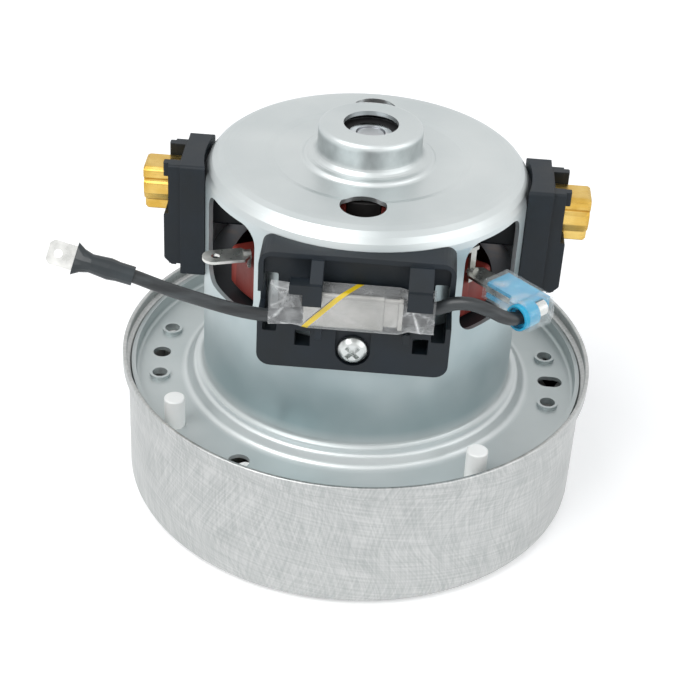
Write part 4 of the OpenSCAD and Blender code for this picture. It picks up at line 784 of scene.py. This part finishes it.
dress(creased_film(), "sleeve_film", "protector_sleeve")
dress(clear_film("Clear_nylon_cover", "#EDF4F5", 0.06, 0.14, 0.26)[0], "flag_cover")
dress(moulded("Blue_nylon_boot", "#0EA1D0", "#33BEE4", 0.24, 0.4, 0.4, 0.02, Alpha=0.84,
              Subsurface_Weight=0.15, Subsurface_Scale=2 * MM), "flag_boot")
print("films dressed")

# %% [markdown]
# Facts of the leads
#
# The left one ends in a tinned blade under a shrunk sleeve. The right one goes back into the
# flag terminal.

print("declared", left_lead.name, right_lead.name)

# %% [markdown]
# Floor and light
#
# The unit stands on a plain pale floor. The white background comes from the floor's and the world's
# own colour as the camera sees it, not from more light on the object, so that metal keeps its tone.
# A large soft lamp above and to the left models the round forms, and a weaker one from the right
# opens the shade.

# %% Floor
FLOOR_R = 3.0
FLOOR_GAP = 0.2 * MM
# The floor's own glow as the camera sees it: near the object, and what is added on the way from
# the first to the second distance in metres
GLOW_NEAR = 0.3
GLOW_ADDED = 0.7
GLOW_FROM = (0.3, 1.3)
mesh = bpy.data.meshes.new("floor")
bm = bmesh.new()
bmesh.ops.create_circle(bm, cap_ends=True, radius=FLOOR_R, segments=64)
bmesh.ops.translate(bm, verts=bm.verts, vec=(0, 0, -FLOOR_GAP))
bm.to_mesh(mesh)
bm.free()
floor = new_object("floor", mesh)
floor_material, tree = new_material("Pale_studio_floor", "#F4F4F4", 0.0, 0.9)
rays = add(tree, "LightPath").node.outputs
seen = add(tree, "Math", (rays["Is Camera Ray"], rays["Is Glossy Ray"]), operation="MAXIMUM")
# Away from the object the lamps' light fades, so the camera sees more of the floor's glow there
place = add(tree, "TexCoord", out="Object")
away = add(tree, "VectorMath", (place,), "Value", operation="LENGTH")
away = add(tree, "MapRange", (away, *GLOW_FROM, 0.0, GLOW_ADDED))
glow = add(tree, "Math", (seen, GLOW_NEAR), operation="MULTIPLY")
glow = add(tree, "Math", (away, rays["Is Camera Ray"], glow), operation="MULTIPLY_ADD")
glow = add(tree, "Emission", ("#FFFFFF", glow))
lit = add(tree, "AddShader", (tree.nodes["Principled BSDF"].outputs[0], glow))
tree.links.new(lit, tree.nodes["Material Output"].inputs["Surface"])
mesh.materials.append(floor_material)
print("floor across, m", 2 * FLOOR_R)

# %% [markdown]
# World and lamps
#
# The world gives an even, slightly cool light. The camera, mirrored rays and rays that pass through
# a piece see plain white in its place, so metal shows the white studio round it. The two lamps are
# soft squares that face the object, the key on the left and the weaker fill on the right.

# %% World and lamps
WORLD_LIGHT = 0.55
LAMP_AIM_Z = 50 * MM
world = bpy.data.worlds.new("studio")
bpy.context.scene.world = world
world.use_nodes = True
tree = world.node_tree
rays = add(tree, "LightPath").node.outputs
bounced = add(tree, "Math", (rays["Is Glossy Ray"], rays["Is Transmission Ray"]),
              operation="MAXIMUM")
plain = add(tree, "Math", (rays["Is Camera Ray"], bounced), operation="MAXIMUM")
light = tree.nodes["Background"]
light.inputs["Color"].default_value = srgb("#F8FBFF")
light.inputs["Strength"].default_value = WORLD_LIGHT
white = add(tree, "Background", ("#FFFFFF", 1.0))
shown = add(tree, "MixShader", (plain, light.outputs[0], white))
tree.links.new(shown, tree.nodes["World Output"].inputs["Surface"])


def soft_lamp(name, place, size, power):
    """A square lamp that faces the object."""
    data = bpy.data.lights.new(name, "AREA")
    data.size = size
    data.energy = power
    lamp = new_object(name, data)
    lamp.location = place
    towards = Vector((0, 0, LAMP_AIM_Z)) - Vector(place)
    lamp.rotation_euler = towards.to_track_quat("-Z", "Y").to_euler()
    print(name, power, "W")


soft_lamp("key_lamp", (-0.7, -0.7, 1.3), 1.0, 14)
soft_lamp("fill_lamp", (1.1, -0.5, 0.7), 1.2, 5)
bpy.context.scene.view_settings.view_transform = "Standard"
